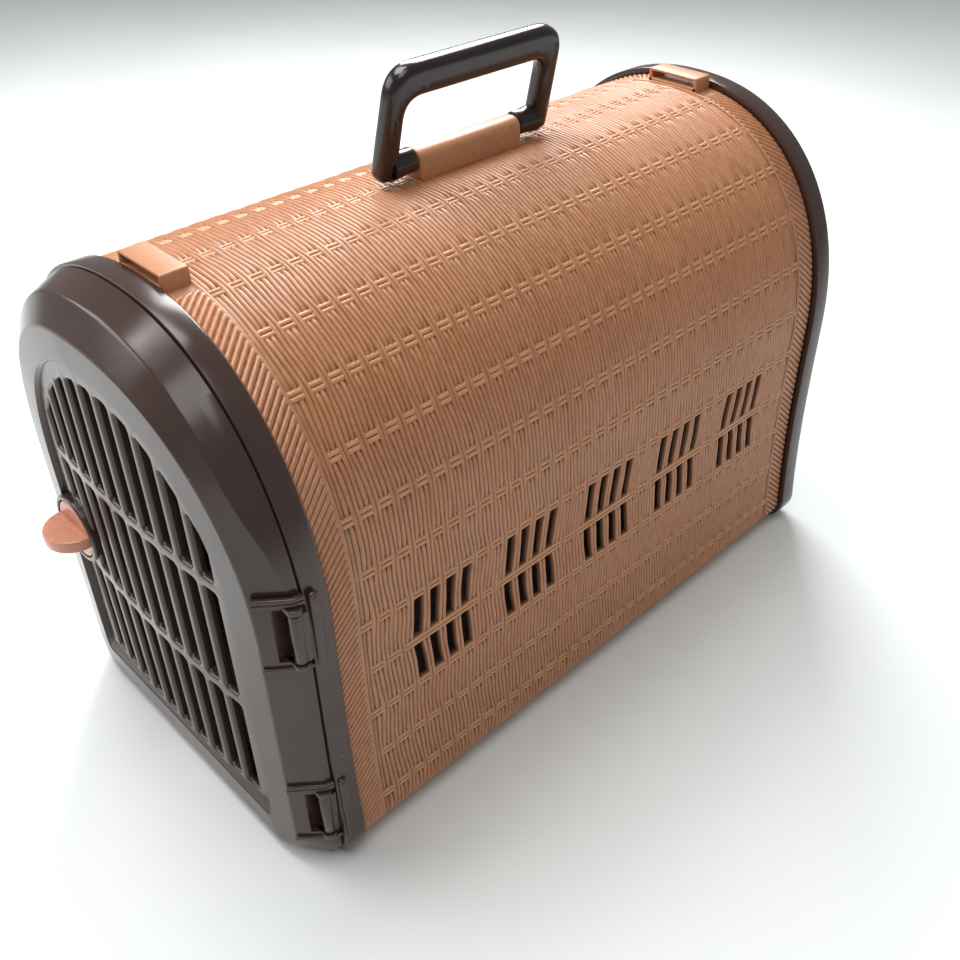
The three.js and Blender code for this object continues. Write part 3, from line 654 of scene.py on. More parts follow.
def course_lines(last):
    """Girths of the grid's lines, close together at each course of rods."""
    half = list(COURSE_STATIONS)
    lines = []
    for n in range(int(last / COURSE) + 2):
        middle = n * COURSE
        lines += [middle - h for h in reversed(half[1:])] + [middle + h for h in half]
        lines.append(middle + COURSE / 2)
    lines = np.array([s for s in lines if 0 <= s < last - 0.4])
    return np.append(lines, last)


def bundle_at(y):
    """Number and middle of the bundle of reeds that a point belongs to."""
    bundle = np.floor((y - FIRST_MARK_Y + REED) / BUNDLE)
    return bundle, FIRST_MARK_Y + BUNDLE * bundle


def over(bundle, s):
    """1 where a bundle passes over the rods, -1 where it dives under them."""
    return np.cos(math.pi * (s / COURSE + bundle))


def in_bar(y, s):
    """Where a plain bar runs between the two rows of a group's vents."""
    near = np.abs(s - BAR_COURSE * COURSE) < COURSE / 2
    within = np.zeros(np.shape(y), bool)
    for start in vent_starts():
        within |= (y > start - BAR_OVERHANG) & (y < start + (VENTS_IN_GROUP - 1) * PLY + BAR_OVERHANG)
    return near & within


def edge_fade(y):
    """0 at the two ends of the weave, 1 away from them."""
    return np.clip(np.minimum(y - WEAVE_FRONT_Y, WEAVE_BACK_Y - y) / WEAVE_END_FADE, 0, 1)


def weave_shift(y, s):
    """How far the reeds wander along Y."""
    bundle, middle = bundle_at(y)
    squeeze = -SQUEEZE * over(bundle, s) ** 3 * np.sin(math.pi * (y - middle) / BUNDLE)
    zigzag = np.where(np.abs(s / COURSE - BAR_COURSE) < 1.5, BAR_ZIGZAG, ZIGZAG)
    sway = -zigzag * np.cos(math.pi * (s / COURSE - BAR_COURSE))
    slow = sum(size * np.sin(2 * math.pi * (s / a + y / b)) for size, a, b in SLOW_WAVES)
    valley = (y - FIRST_MARK_Y) / REED
    low = np.floor(valley + 1e-6)

    def own(v):
        return 0.2 * np.sin(2 * math.pi * s / (31 + 7 * np.sin(1.7 * v)) + 2.4 * v * v)

    wander = own(low) + (valley - low) * (own(low + 1) - own(low))
    return edge_fade(y) * (squeeze + sway + slow + wander)


def one_sided_height(y, s):
    """Height of the reeds, where a point on the line between two belongs to the one behind it."""
    bundle, middle = bundle_at(y)
    across = (((y - middle + BUNDLE) % REED) / REED * 2 - 1) / REED_SHARE
    reed = np.floor((y - FIRST_MARK_Y) / REED)
    height = REED_HEIGHT * (1 + REED_VARIETY * np.sin(12.9 * reed)) * np.sqrt(np.maximum(0, 1 - across**2))
    passing = np.where(in_bar(y, s), -np.abs(over(bundle, s)), over(bundle, s))
    lift = LIFT * np.maximum(passing, 0) ** 6
    dive = DIVE * np.maximum(-passing, 0) ** 14
    return height + lift - dive


def rod_height(y, s):
    """Height of the cross rods where they lie on top, and NO_ROD elsewhere."""
    course = np.round(s / COURSE)
    along = np.abs(s - course * COURSE)
    offset = np.abs(along - ROD_OFFSET)
    profile = np.sqrt(np.maximum(0, ROD_R**2 - offset**2)) - ROD_R
    odd = course % 2
    first = FIRST_MARK_Y + BUNDLE * (1 - odd)
    from_middle = np.abs((y - first + PLY / 2) % PLY - PLY / 2)
    end = np.maximum(0, from_middle - ROD_HALF_LENGTH + ROD_END_LENGTH)
    height = ROD_TOP + profile - ROD_END_DROP * end**2
    bar = ROD_TOP + profile + BAR_PROUD
    height = np.where(in_bar(y, s), np.maximum(height, bar), height)
    allowed = (along < ROD_REACH) & ((from_middle < ROD_HALF_LENGTH) | in_bar(y, s))
    return np.where(allowed, height, NO_ROD)


def weave_height(y, s):
    """Height of the weave, and where a rod lies on top."""
    reeds = np.minimum(one_sided_height(y - 1e-3, s), one_sided_height(y + 1e-3, s))
    rods = rod_height(y, s)
    fade = edge_fade(y)
    faded = reeds * (FADED_REED + (1 - FADED_REED) * fade) - FADED_DROP * (1 - fade)
    return np.maximum(faded, rods), rods > reeds


def bead(distance, radius=1.1):
    """Height of a raised half-round line, distance from its middle."""
    return np.sqrt(np.maximum(0, radius**2 - distance**2))


RIB_PITCH = 4.7
RIB_SLOPE = 0.92
RIB_HEIGHT = 1.3
RIB_SHARE = 0.94  # of the pitch, the rest is groove
GROOVE_FLOOR = -0.3
RIB_END_R = 1.3
RIB_GAP = 0.7  # between the ribs' ends and the frame or the cover
BAND_STEP = 0.45
WEAVE_STEP = 0.5
BAY_LEAD = 21  # a bay of weave starts this far before its vents
FRONT_BEAD_Y = -184
BACK_BEAD_Y = 220
FRONT_BEAD_COLUMNS = FRONT_BEAD_Y + np.array([-0.9, -0.5, 0, 0.5, 1])
BACK_BEAD_COLUMNS = BACK_BEAD_Y + np.array([-1, -0.5, 0, 0.5, 1])
BEAD_CLEARANCE = 1.3
GUTTER_HEIGHT = -0.3
PATCH_HEIGHT = 0.2
PATCH_REACH = 30  # from the crown to the patch's end
PATCH_FADE = 3


def band_height(y, s, towards_back, outer_end):
    """Slanted ribs of the herringbone band at one end of the shell, round where they end outside."""
    phase = (s + towards_back * RIB_SLOPE * y) / RIB_PITCH
    across = ((phase % 1) * 2 - 1) / RIB_SHARE
    ridge = np.sqrt(np.maximum(0, 1 - across**2))
    short = np.clip(1 - np.abs(y - outer_end) / RIB_END_R, 0, 1)
    beyond = (y - outer_end) * towards_back < 0
    rounding = np.where(beyond, 0, np.sqrt(1 - short**2))
    return GROOVE_FLOOR + (RIB_HEIGHT - GROOVE_FLOOR) * ridge * rounding


def smooth_patch(s):
    """1 on the flat patch of the crown where a strap loop stands, 0 elsewhere."""
    return np.clip((PATCH_REACH - s) / PATCH_FADE, 0, 1)


def nowhere(y, s):
    """No part of the wall is cut out."""
    return np.zeros(np.shape(y), bool)


def kept_quads(y, s, removed):
    """The grid's quads, as point numbers, without the ones that are cut out."""
    ids = np.arange(y.size).reshape(y.shape)
    kept = ~removed((y[:-1, :-1] + y[1:, 1:]) / 2, (s[:-1, :-1] + s[1:, 1:]) / 2)
    corners = [ids[:-1, :-1], ids[:-1, 1:], ids[1:, 1:], ids[1:, :-1]]
    return np.column_stack([c[kept] for c in corners])


def open_edges(quads, count):
    """The edges that only one quad has, as the numbers of their two ends."""
    heads = quads.ravel()
    tails = np.roll(quads, -1, axis=1).ravel()
    rim = ~np.isin(heads * count + tails, tails * count + heads)
    return heads[rim], tails[rim]


def away_from_ends(values, ends):
    """Which values aren't the first or the last of a grid's own."""
    return (values > ends[0] + 0.01) & (values < ends[-1] - 0.01)


def ruled_piece(name, side, columns, lines, shift, height, removed=nowhere):
    """A closed piece of the shell's wall, ruled by columns in Y and lines in girth."""
    grid_y, grid_s = np.meshgrid(columns, lines)
    quads = kept_quads(grid_y, grid_s, removed)
    y, s = grid_y.ravel(), grid_s.ravel()
    out, rods = (values.ravel() for values in height(grid_y, grid_s))
    heads, tails = open_edges(quads, y.size)
    rim = np.unique(heads)
    round_vents = rim[away_from_ends(y[rim], columns) & away_from_ends(s[rim], lines)]
    out[round_vents] = np.minimum(out[round_vents], VENT_EDGE_TOP)

    def wall(wall_y, wall_s, depth):
        x, z = girth.at(wall_s, depth, side)
        return skin.add(np.column_stack([x, wall_y, z]))

    skin = Skin()
    y_real = y + shift(y, s)
    wall(y_real, s, WEAVE_BASE + out)
    skin.quads.append(quads)
    shoulder = np.minimum(WEAVE_BASE + out[rim] - SHOULDER[0], SHOULDER[1])
    rings = [wall(y_real[rim], s[rim], depth) for depth in (shoulder, np.full(len(rim), -float(WALL)))]
    order = np.searchsorted(rim, np.stack([heads, tails]))
    chains = [np.stack([heads, tails])] + [ring[order] for ring in rings]
    for (a, b), (c, d) in zip(chains, chains[1:]):
        skin.quads.append(np.column_stack([b, a, c, d]))

    rim_points = np.column_stack([y[rim], s[rim]])
    u, v = np.meshgrid(np.arange(columns[0] + 4, columns[-1] - 2, INNER_STEP),
                       np.arange(lines[0] + 4, lines[-1] - 2, INNER_STEP))
    inner = away_from(np.column_stack([u.ravel(), v.ravel()]), rim_points, 2.5)
    inner_y, inner_s = inner[~removed(inner[:, 0], inner[:, 1])].T
    inner_ids = wall(inner_y + shift(inner_y, inner_s), inner_s, np.full(len(inner_y), -float(WALL)))
    points = np.vstack([rim_points, np.column_stack([inner_y, inner_s])])
    tris, centres = delaunay(points, order.T.tolist())
    tris = wound(points, tris[~removed(centres[:, 0], centres[:, 1])])
    skin.tris.append(np.concatenate([rings[-1], inner_ids])[tris][:, ::-1])

    # Painted shade: the inner face keeps relief 0 and the vent walls get WALL_SHADE, so both are coloured dark
    # as if in shadow.
    relief, rod = np.zeros(skin.count), np.zeros(skin.count)
    relief[: out.size] = np.clip((out + RELIEF_DEPTH) / (2 * RELIEF_DEPTH), 0, 1)
    relief[rings[0]], relief[rings[1]] = WALL_SHADE
    rod[: out.size] = rods
    return skin.mesh(name, {"relief": relief, "rod": rod})


def in_vent(y, s):
    """Where the wall is cut through between two courses of rods."""
    course = np.floor(s / COURSE)
    from_course = s - course * COURSE
    row = np.isin(course, VENT_COURSES) & (from_course > ROD_REACH) & (from_course < COURSE - ROD_REACH)
    column = np.zeros(np.shape(y), bool)
    for start in vent_starts():
        for k in range(VENTS_IN_GROUP):
            column |= np.abs(y - start - k * PLY) < VENT_HALF_WIDTH
    return row & column


def band_profile(towards_back, outer_end, bead_y):
    """Height of a herringbone band, with a bead beside the weave and a flat patch under the strap loop."""

    def height(y, s):
        patch = smooth_patch(s)
        ribs = band_height(y, s, towards_back, outer_end) * (1 - patch) + PATCH_HEIGHT * patch
        from_bead = (y - bead_y) * towards_back
        ribs = np.where(from_bead > -BEAD_CLEARANCE, GUTTER_HEIGHT, ribs)
        line = bead(from_bead) + 0.1 - 9 * (np.abs(from_bead) > 1.2)
        return np.maximum(ribs, line), np.zeros(y.shape)

    return height


def no_shift(y, s):
    return 0 * y


def woven_shell():
    """The shell in pieces: five bays of weave and two herringbone bands on each side."""
    bays = [WEAVE_FRONT_Y] + [start - BAY_LEAD for start in vent_starts()[1:]] + [WEAVE_BACK_Y]
    lines = course_lines(CORNER_TURN)
    band_lines = np.append(np.arange(0, CORNER_TURN - 0.3, BAND_STEP), CORNER_TURN)
    front = [SHELL_LOW[1], -206, *np.arange(-202.5, -185.4, BAND_STEP), *FRONT_BEAD_COLUMNS]
    back = [*BACK_BEAD_COLUMNS, *np.arange(221.6, 239.9, BAND_STEP), 244, SHELL_HIGH[1]]
    bands = (
        ("front", front, band_profile(1, FRAME_HIGH[1] + RIB_GAP, FRONT_BEAD_Y)),
        ("back", back, band_profile(-1, COVER_LOW[1] - RIB_GAP, BACK_BEAD_Y)),
    )
    for side, label in ((1, "right"), (-1, "left")):
        for k, (y0, y1) in enumerate(zip(bays, bays[1:])):
            name = f"weave_{label}_{k + 1}"
            columns = np.linspace(y0, y1, int(round((y1 - y0) / WEAVE_STEP)) + 1)
            mesh = ruled_piece(name, side, columns, lines, weave_shift, weave_height, in_vent)
            replaced = ["body_shell"] if name == "weave_right_1" else []
            piece(name, mesh, "carrier", TAN_WOVEN, replaced, sharp_deg=75)
        for end, columns, height in bands:
            name = f"band_{end}_{label}"
            mesh = ruled_piece(name, side, columns, band_lines, no_shift, height)
            piece(name, mesh, "carrier", TAN_WOVEN, sharp_deg=75)


def tray():
    """The smooth floor of the shell, with the lower half of its two corners."""
    lines = np.linspace(CORNER_TURN, girth.along[-1], 14)
    loops = []
    for out in (WEAVE_BASE + 0.2, -WALL):
        x, z = girth.at(lines, np.full(len(lines), float(out)), 1)
        loops.append(np.vstack([np.column_stack([-x, z]), np.column_stack([x, z])[::-1]]))
    outline = np.vstack([loops[0], loops[1][::-1]])
    skin = Skin()
    ends = [skin.ring(outline, y) for y in np.linspace(SHELL_LOW[1], SHELL_HIGH[1], 9)]
    skin.bands(ends)
    tris = wound(outline, triangulate(outline, [np.arange(len(outline))]))
    skin.fill(ends[0][tris])
    skin.fill(ends[-1][tris], flip=True)
    # Painted shade: the tray's outer face gets full relief and its inner face none, so the inside is coloured
    # dark as if in shadow.
    relief = np.tile(np.repeat([1.0, 0.0], len(loops[0])), len(ends))
    piece("shell_tray", skin.mesh("shell_tray", {"relief": relief}), "carrier", TAN_WOVEN)


# ---- Front frame and rear cover ----


def swept_arch(skin, profile, closed=True):
    """Sweeps a profile of (grow, y) round the arch of the shell."""
    loops = []
    for grow, y in profile:
        low = BOTTOM_Z - max(grow, 0) * BOTTOM_Z / FRAME_PROUD - min(grow, 0)
        outline = arch_loop(shell_form(grow, max(low, 0)))
        loops.append(skin.ring(outline, y))
    skin.bands(loops, closed=closed)
    return loops


FRAME_PROUD = 3.5
COVER_PROUD = 5
FLANGE_INSET = 19
PLAY = 0.3
SCREW_RECESS = 2.6


def front_frame():
    """The frame, with the flange that its screws and the latch's cam hold on to."""
    front, back = FRAME_LOW[1], FRAME_HIGH[1]
    p = FRAME_PROUD
    profile = [
        (p - 0.45, front), (p - 0.2, front + 0.06), (p - 0.05, front + 0.2), (p, front + 0.45),
        (p, back - 1.4), (p - 0.15, back - 0.7), (p - 0.5, back - 0.25), (p - 1.1, back),
        (PLAY + 0.5, back), (PLAY, back - 0.4), (PLAY, front + 3.2),
        (-FLANGE_INSET + 0.4, front + 3.0), (-FLANGE_INSET, front + 2.6),
        (-FLANGE_INSET, front + 0.5), (-FLANGE_INSET + 0.5, front),
    ]
    skin = Skin()
    swept_arch(skin, profile)
    piece("front_ring", skin, "carrier", DARK, ["front_frame"])


def rear_cover():
    """The closed cover, with a raised arch line and recesses for its screws."""
    front, back = COVER_LOW[1], COVER_HIGH[1]
    p = COVER_PROUD
    chamfer = 8
    profile = [
        (-FLANGE_INSET, back - 8), (PLAY, back - 8), (PLAY, front + 0.4), (PLAY + 0.5, front),
        (p - 0.9, front), (p - 0.25, front + 0.25), (p, front + 0.9),
        (p, back - chamfer - 1), (p - 0.2, back - chamfer + 0.1), (p - 0.9, back - chamfer + 1),
        (p - chamfer + 0.9, back - 0.9), (p - chamfer + 0.1, back - 0.25), (p - chamfer - 1, back),
        (-15, back), (-15.8, back - 0.2), (-16.2, back - 0.8), (-40, back - 0.8),
        (-40.6, back - 0.5), (-41.6, back - 0.1), (-43, back), (-44.4, back - 0.1), (-45.4, back - 0.5),
        (-46, back - 0.8),
    ]
    skin = Skin()
    loops = swept_arch(skin, profile, closed=False)
    close_outside(skin, loops[-1], arch_loop(shell_form(profile[-1][0])), back - 0.8)
    inside_face = arch_loop(shell_form(-FLANGE_INSET))
    dish = skin.ring(inside_face, back - WALL)
    skin.band(dish, loops[0])
    skin.fan(dish[::-1], skin.add([[0, back - WALL, SPRING_Z]])[0])
    mesh = carved(skin.mesh("back_cover"), [screw_recess(*place, back) for place in screw_places("cover")])
    piece("back_cover", mesh, "carrier", DARK, ["rear_cover"])


def close_outside(skin, last, rim, y):
    """Fills the cover's panel with rings that shrink to its middle."""
    middle = np.array([0, SPRING_Z])
    centre = skin.add([[0, y, SPRING_Z]])[0]
    for share in (0.75, 0.5, 0.25):
        ring = skin.ring(middle + (rim - middle) * share, y)
        skin.band(last, ring)
        last = ring
    skin.fan(last, centre)


def screw_recess(x, z, head, back):
    """A cutter for the hole that a screw's head sits in."""
    floor, r = back - SCREW_RECESS, head + PLAY
    profile = [(0, floor), (r, floor), (r, back + 1), (0, back + 1)]
    return lathe(profile, upright_at(x, z), 32).mesh("cutter")


def carved(mesh, cutters):
    """mesh with the cutters taken out of it."""
    target = linked("target", mesh)
    tools = [linked("tool", cutter) for cutter in cutters]
    for tool in tools:
        step = target.modifiers.new("cut", "BOOLEAN")
        step.operation = "DIFFERENCE"
        step.solver = "EXACT"
        step.object = tool
    bpy.context.view_layer.update()
    graph = bpy.context.evaluated_depsgraph_get()
    result = bpy.data.meshes.new_from_object(target.evaluated_get(graph))
    for obj in tools + [target]:
        bpy.data.objects.remove(obj)
    result.name = mesh.name + "_carved"
    return result


# ---- Door ----

DOOR_PARTING_Y = DOOR_HIGH[1]
DOOR_PROUD = 1.7
DOOR_FLARE = 3
EDGE_LOW = {"depth": 4.8, "share": 0.06}  # the edge between the door's side wall and its chamfer, low down
EDGE_HIGH = {"depth": 16, "share": 0.31}  # and over the crown
EDGE_RISE = (205, 285)
FACE_EDGE_Y = -236.4
FACE_BULGE = 10
BULGE_FADE = 0.45  # share of the bulge that is lost towards the crown
BULGE_FADE_Z = 60
BULGE_FADE_HEIGHT = 250
DOOR_CAVITY_Y = -232.5
FACE = {"half_width": 118, "crown": 311, "bottom": 10, "flare": 0, "corner": 18}
CAVITY = {**FACE, "half_width": 115, "crown": 308, "bottom": 13}
RECESS = {"half_width": 99, "crown": 293, "bottom": 29, "flare": 0, "corner": 6}
GRILLE_Y = -240.5
GRILLE_BEND = 5.1e-4
RECESS_FLOOR = {"half_width": 97.6, "crown": 291.4, "bottom": 36, "flare": 0, "corner": 5}
SLOT_COLUMNS = 10
SLOT_PITCH = 17.4
SLOT_WIDTH = 11.2
SLOT_CORNER_R = 2.5
SLOT_EDGE_R = {"front": 2.3, "back": 0.8}
SLOT_ROWS = ((39.5, 114.4), (122.4, 199), (207, 283))
SLOT_LATCH_GAP = 7
CEILING_DROP = 31
CEILING_REACH = 68  # from the middle to where the top row has dropped that far
LATCH_X = -88
LATCH_Z = 142
KNOB_R = 19.5
KNOB_FRONT_Y = -240.4
FIN_HALF = 4.5
SEAT_BACK = 232.9
SEAT_FLOOR = 237.4
STEM_BACK = 211.8
HINGE_X = 131
HINGE_Y = -221
HINGES = {"upper": (171, 213), "lower": (28, 70)}
BARREL_R = 3.6
EAR_R = 4.4
EAR_HEIGHT = 3.5
HINGE_POCKET = 8.5
POCKET_BACK_GAP = 3.5
BARREL_GAP = 1
PAD_BEHIND = (1.4, 7.2)  # how far behind the frame's front the pad starts and ends
PAD_PROUD = 1.9
HINGE_RIBS = ((0.4, 2.7, 2.2), (3.2, 2.7, 2.2), (-2.6, 2.8, 1.8))  # from the hinge's end, height, proud by
# How far along each ring lies, and how far it is pulled back to round an edge off.
SIDE_WALL_RINGS = ((0.5, 0), (0.88, 0), (0.94, 0), (0.98, 0.05))
CHAMFER_RINGS = ((0.0, 0.2), (0.015, 0.05), (0.04, 0), (0.08, 0), (0.5, 0), (0.92, 0), (0.96, 0),
                 (0.985, 0.06))


def door_form(grow):
    """The door's outline at its parting line, grown by a distance."""
    return {
        "half_width": HALF_WIDTH + DOOR_PROUD + grow,
        "crown": DOOR_HIGH[2] + grow,
        "bottom": DOOR_LOW[2] - grow,
        "flare": DOOR_FLARE,
        "corner": CORNER_R + grow,
    }


def face_y(x, z):
    """The bulging face, flatter towards the crown."""
    across = 1 - (x / FACE["half_width"]) ** 2
    up = 1 - BULGE_FADE * np.clip((z - BULGE_FADE_Z) / BULGE_FADE_HEIGHT, 0, 1)
    return FACE_EDGE_Y - FACE_BULGE * across * up


def edge_place(z):
    """Depth of the door's side wall at a height, and how far its edge has moved towards the face."""
    rise = np.clip((z - EDGE_RISE[0]) / (EDGE_RISE[1] - EDGE_RISE[0]), 0, 1)
    rise = rise * rise * (3 - 2 * rise)
    depth = EDGE_LOW["depth"] + (EDGE_HIGH["depth"] - EDGE_LOW["depth"]) * rise
    share = EDGE_LOW["share"] + (EDGE_HIGH["share"] - EDGE_LOW["share"]) * rise
    return depth, share


def grille_y(x):
    """The grille is curved, and stands furthest forwards at its middle."""
    return GRILLE_Y + GRILLE_BEND * x * x


def slot_ceiling(x):
    """Top end of the slots, which follows the door's arch."""
    return SLOT_ROWS[2][1] - CEILING_DROP * (np.abs(x) / CEILING_REACH) ** 2.4


def grille_slots():
    """Outlines of the grille's slots. The one behind the knob starts above it."""
    slots = []
    for column in range(SLOT_COLUMNS):
        x = (column - (SLOT_COLUMNS - 1) / 2) * SLOT_PITCH
        left, right = x - SLOT_WIDTH / 2, x + SLOT_WIDTH / 2
        for low, high in SLOT_ROWS:
            if column == 0 and low < LATCH_Z < high:
                low = LATCH_Z + KNOB_R + SLOT_LATCH_GAP
            corners = [(left, low), (right, low), (right, min(high, slot_ceiling(right))),
                       (left, min(high, slot_ceiling(left)))]
            slots.append(finer(rounded(corners, SLOT_CORNER_R), 9))
    return slots


def door_outside(skin, face, recess, floor):
    """Rings from the parting line over the side wall, the edge, the chamfer and the face to the grille."""
    rings = [skin.ring(arch_loop(door_form(-WALL)), DOOR_PARTING_Y)]
    for grow, y in ((-0.45, 0), (-0.2, 0.06), (-0.05, 0.2), (0, 0.45)):
        rings.append(skin.ring(arch_loop(door_form(grow)), DOOR_PARTING_Y - y))
    start = arch_loop(door_form(0))
    depth, moved = edge_place(start[:, 1])
    edge = start + (face - start) * moved[:, None]
    front_y = face_y(face[:, 0], face[:, 1])
    lip_y = face_y(recess[:, 0], recess[:, 1])
    floor_y = grille_y(floor[:, 0])

    def rings_between(a, b, y_a, y_b, places):
        for share, inwards in places:
            rings.append(skin.ring(blend_loops(a, b, share), y_a + (y_b - y_a) * share + inwards))

    rings_between(start, edge, DOOR_PARTING_Y, DOOR_PARTING_Y - depth, SIDE_WALL_RINGS)
    rings_between(edge, face, DOOR_PARTING_Y - depth, front_y, CHAMFER_RINGS)
    rings.append(skin.ring(face, front_y + 0.25))
    for share in (0.025, 0.06, 0.12, 0.3, 0.5, 0.7, 0.88, 0.96, 0.99):
        outline = blend_loops(face, recess, share)
        rings.append(skin.ring(outline, face_y(outline[:, 0], outline[:, 1])))
    rings.append(skin.ring(recess, lip_y + 0.35))
    for share in (0.15, 0.85):
        outline = blend_loops(recess, floor, share)
        rings.append(skin.ring(outline, lip_y + (floor_y - lip_y) * (0.1 + 0.8 * share)))
    rings.append(skin.ring(blend_loops(recess, floor, 0.97), floor_y - 0.12))
    rings.append(skin.ring(floor, floor_y))
    skin.bands(rings)
    return rings


def door_panel():
    """The door: its outside, the grille and the hollow back, with slots for the hinges."""
    skin = Skin()
    floor = arch_loop(RECESS_FLOOR)
    rings = door_outside(skin, arch_loop(FACE), arch_loop(RECESS), floor)
    slots = grille_slots()

    def front(u, v):
        return -grille_y(u)

    front_holes = cover_face(skin, rings[-1], floor, slots, front, SLOT_EDGE_R["front"], -1, along_y, 9)
    cavity = arch_loop(CAVITY)
    mouth = arch_loop(door_form(-WALL))
    depth, moved = edge_place(mouth[:, 1])
    inner_edge = mouth + (cavity - mouth) * moved[:, None]
    back_rings = [skin.ring(cavity, DOOR_CAVITY_Y), skin.ring(inner_edge, DOOR_PARTING_Y - depth + 2)]
    back = level(DOOR_CAVITY_Y)
    back_holes = cover_face(skin, back_rings[0], cavity, slots, back, SLOT_EDGE_R["back"], 1, along_y, 14)
    skin.bands(back_rings + [rings[0]])
    join_sides(skin, front_holes, back_holes, first_is_outline=False)
    mesh = carved(skin.mesh("door"), [hinge_cutter(*bounds) for bounds in HINGES.values()])
    piece("door", mesh, "door", DARK, ["door_panel"], sharp_deg=35)


def door_side(z):
    """Outermost X of the door's side wall at a height."""
    return HALF_WIDTH + DOOR_PROUD + DOOR_FLARE * max(0, (SPRING_Z - z) / SPRING_Z) ** 3


def side_profile(z, out):
    """The door's side from its face round to the parting line, moved out by a distance, as X and Y."""
    wall = door_side(z)
    depth, moved = edge_place(z)
    edge_x = wall + (FACE["half_width"] - wall) * moved
    return [(FACE["half_width"] + 0.78 * out, FACE_EDGE_Y - 0.62 * out),
            (edge_x + 0.9 * out, DOOR_PARTING_Y - depth - 0.3 * out), (wall + out, DOOR_PARTING_Y)]


def prism(outline, low, high, radius=0.001):
    """A closed solid over an outline in X and Y, from one height to another, with rounded ends."""

    def upright(u, v, h):
        return np.column_stack([u, v, h])

    loop = anticlockwise(np.array(outline, float))
    return slab(loop, [], flat(low), flat(high), upright, radius, radius, 30)


def hinge_cutter(low, high):
    """The deep slot in the door's side that the barrel turns in."""
    near, far = HINGE_X - HINGE_POCKET, HINGE_X + 12
    front, back = HINGE_Y - HINGE_POCKET, DOOR_PARTING_Y + 1.5
    outline = [(near, front), (far, front), (far, back), (near, back)]
    return prism(outline, low + EAR_HEIGHT, high - EAR_HEIGHT).mesh("slot")


def hinge_ear(z):
    """A round ear on the door that holds one end of the pin."""
    arc = [(HINGE_X + EAR_R * math.cos(t), HINGE_Y + EAR_R * math.sin(t))
           for t in np.linspace(-math.pi / 2, math.pi / 2, 17)]
    outline = arc + [(HINGE_X - 9, HINGE_Y + EAR_R), (HINGE_X - 9, HINGE_Y - EAR_R)]
    return prism(outline, z, z + EAR_HEIGHT, 0.6)


def pocket_walls(low, high):
    """Walls behind the slot that the barrel turns in, so that the door stays closed there."""
    near, front = HINGE_X - HINGE_POCKET, HINGE_Y - HINGE_POCKET
    back = DOOR_PARTING_Y - POCKET_BACK_GAP
    surface = side_profile((low + high) / 2, -1.2)
    slope = (surface[1][0] - surface[0][0]) / (surface[1][1] - surface[0][1])
    mouth_x = surface[0][0] + slope * (front + 0.2 - surface[0][1])
    walls = [(mouth_x, front + 0.2), (near + 0.2, front + 0.2), (near + 0.2, back), (near - 1.8, back),
             (near - 1.8, front - 1.8), (mouth_x - slope * 2 - 0.2, front - 1.8)]
    return prism(walls, low + 1, high - 1)


def hinge_rib(z, height, out):
    """A rib that runs round the door's side."""
    outline = side_profile(z, out) + side_profile(z, -1.0)[::-1]
    return prism(outline, z, z + height, 0.8)


def hinge_details():
    """Ears, pocket walls and ribs on the door; pad, arm and barrel on the frame."""
    for label, (low, high) in HINGES.items():
        for k, z in enumerate((low, high - EAR_HEIGHT)):
            piece(f"hinge_ear_{label}_{k + 1}", hinge_ear(z), "door", DARK)
        piece(f"hinge_pocket_{label}", pocket_walls(low, high), "door", DARK)
        for k, (z, height, out) in enumerate(HINGE_RIBS):
            z += high if z > 0 else low
            piece(f"hinge_rib_{label}_{k + 1}", hinge_rib(z, height, out), "door", DARK)
        clip(label, low, high)


def frame_side(z):
    """Outermost X of the frame at a height."""
    return HALF_WIDTH + FRAME_PROUD + FLARE * np.maximum(0, (SPRING_Z - z) / SPRING_Z) ** 3


def clip(label, low, high):
    """The fixed half of a hinge: a barrel, a pad with a dimple on the frame's side, and an arm between."""
    low_end, high_end = low + EAR_HEIGHT + BARREL_GAP, high - EAR_HEIGHT - BARREL_GAP
    r = BARREL_R
    profile = [(0, low_end), (r - 0.8, low_end), (r - 0.25, low_end + 0.25), (r, low_end + 0.8),
               (r, high_end - 0.8), (r - 0.25, high_end - 0.25), (r - 0.8, high_end), (0, high_end)]
    barrel = lathe(profile, lambda u, v, h: (HINGE_X + u, HINGE_Y + v, h), 32)
    piece(f"hinge_barrel_{label}", barrel, "carrier", DARK, [f"hinge_clip_{label}"])

    pad_low, pad_high = low - 3, high + 5
    near, far = (FRAME_LOW[1] + behind for behind in PAD_BEHIND)
    corners = [(near, pad_low), (far, pad_low), (far, pad_high), (near, pad_high)]

    def on_side(u, v, h):
        return np.column_stack([frame_side(v) + h, u, v])

    pad = slab(finer(rounded(corners, 2.4), 3), [], flat(-0.6), flat(PAD_PROUD), on_side, 0.1, 1.3, 5)
    piece(f"hinge_pad_{label}", pad, "carrier", DARK)

    z, y = pad_high - 4, (near + far) / 2
    x = frame_side(z) + PAD_PROUD - 0.05
    profile = [(0, 0.05), (0.9, 0.06), (1.3, 0.35), (1.75, 0.4), (2.1, 0.05), (2.1, -0.6), (0, -0.6)]
    dimple = lathe(profile, lambda u, v, h: (x + h, y + u, z + v), 24)
    piece(f"hinge_dimple_{label}", dimple, "carrier", DARK)

    front = FRAME_LOW[1] - 0.5
    outline = [(HINGE_X + 0.5, HINGE_Y + 1), (HINGE_X + 2.9, HINGE_Y + 1), (HINGE_X + 3.2, front - 0.9),
               (HINGE_X + 3.2, front), (HINGE_X + 0.5, front)]
    piece(f"hinge_arm_{label}", prism(outline, low_end, high_end, 0.35), "carrier", DARK)


# ---- Latch ----


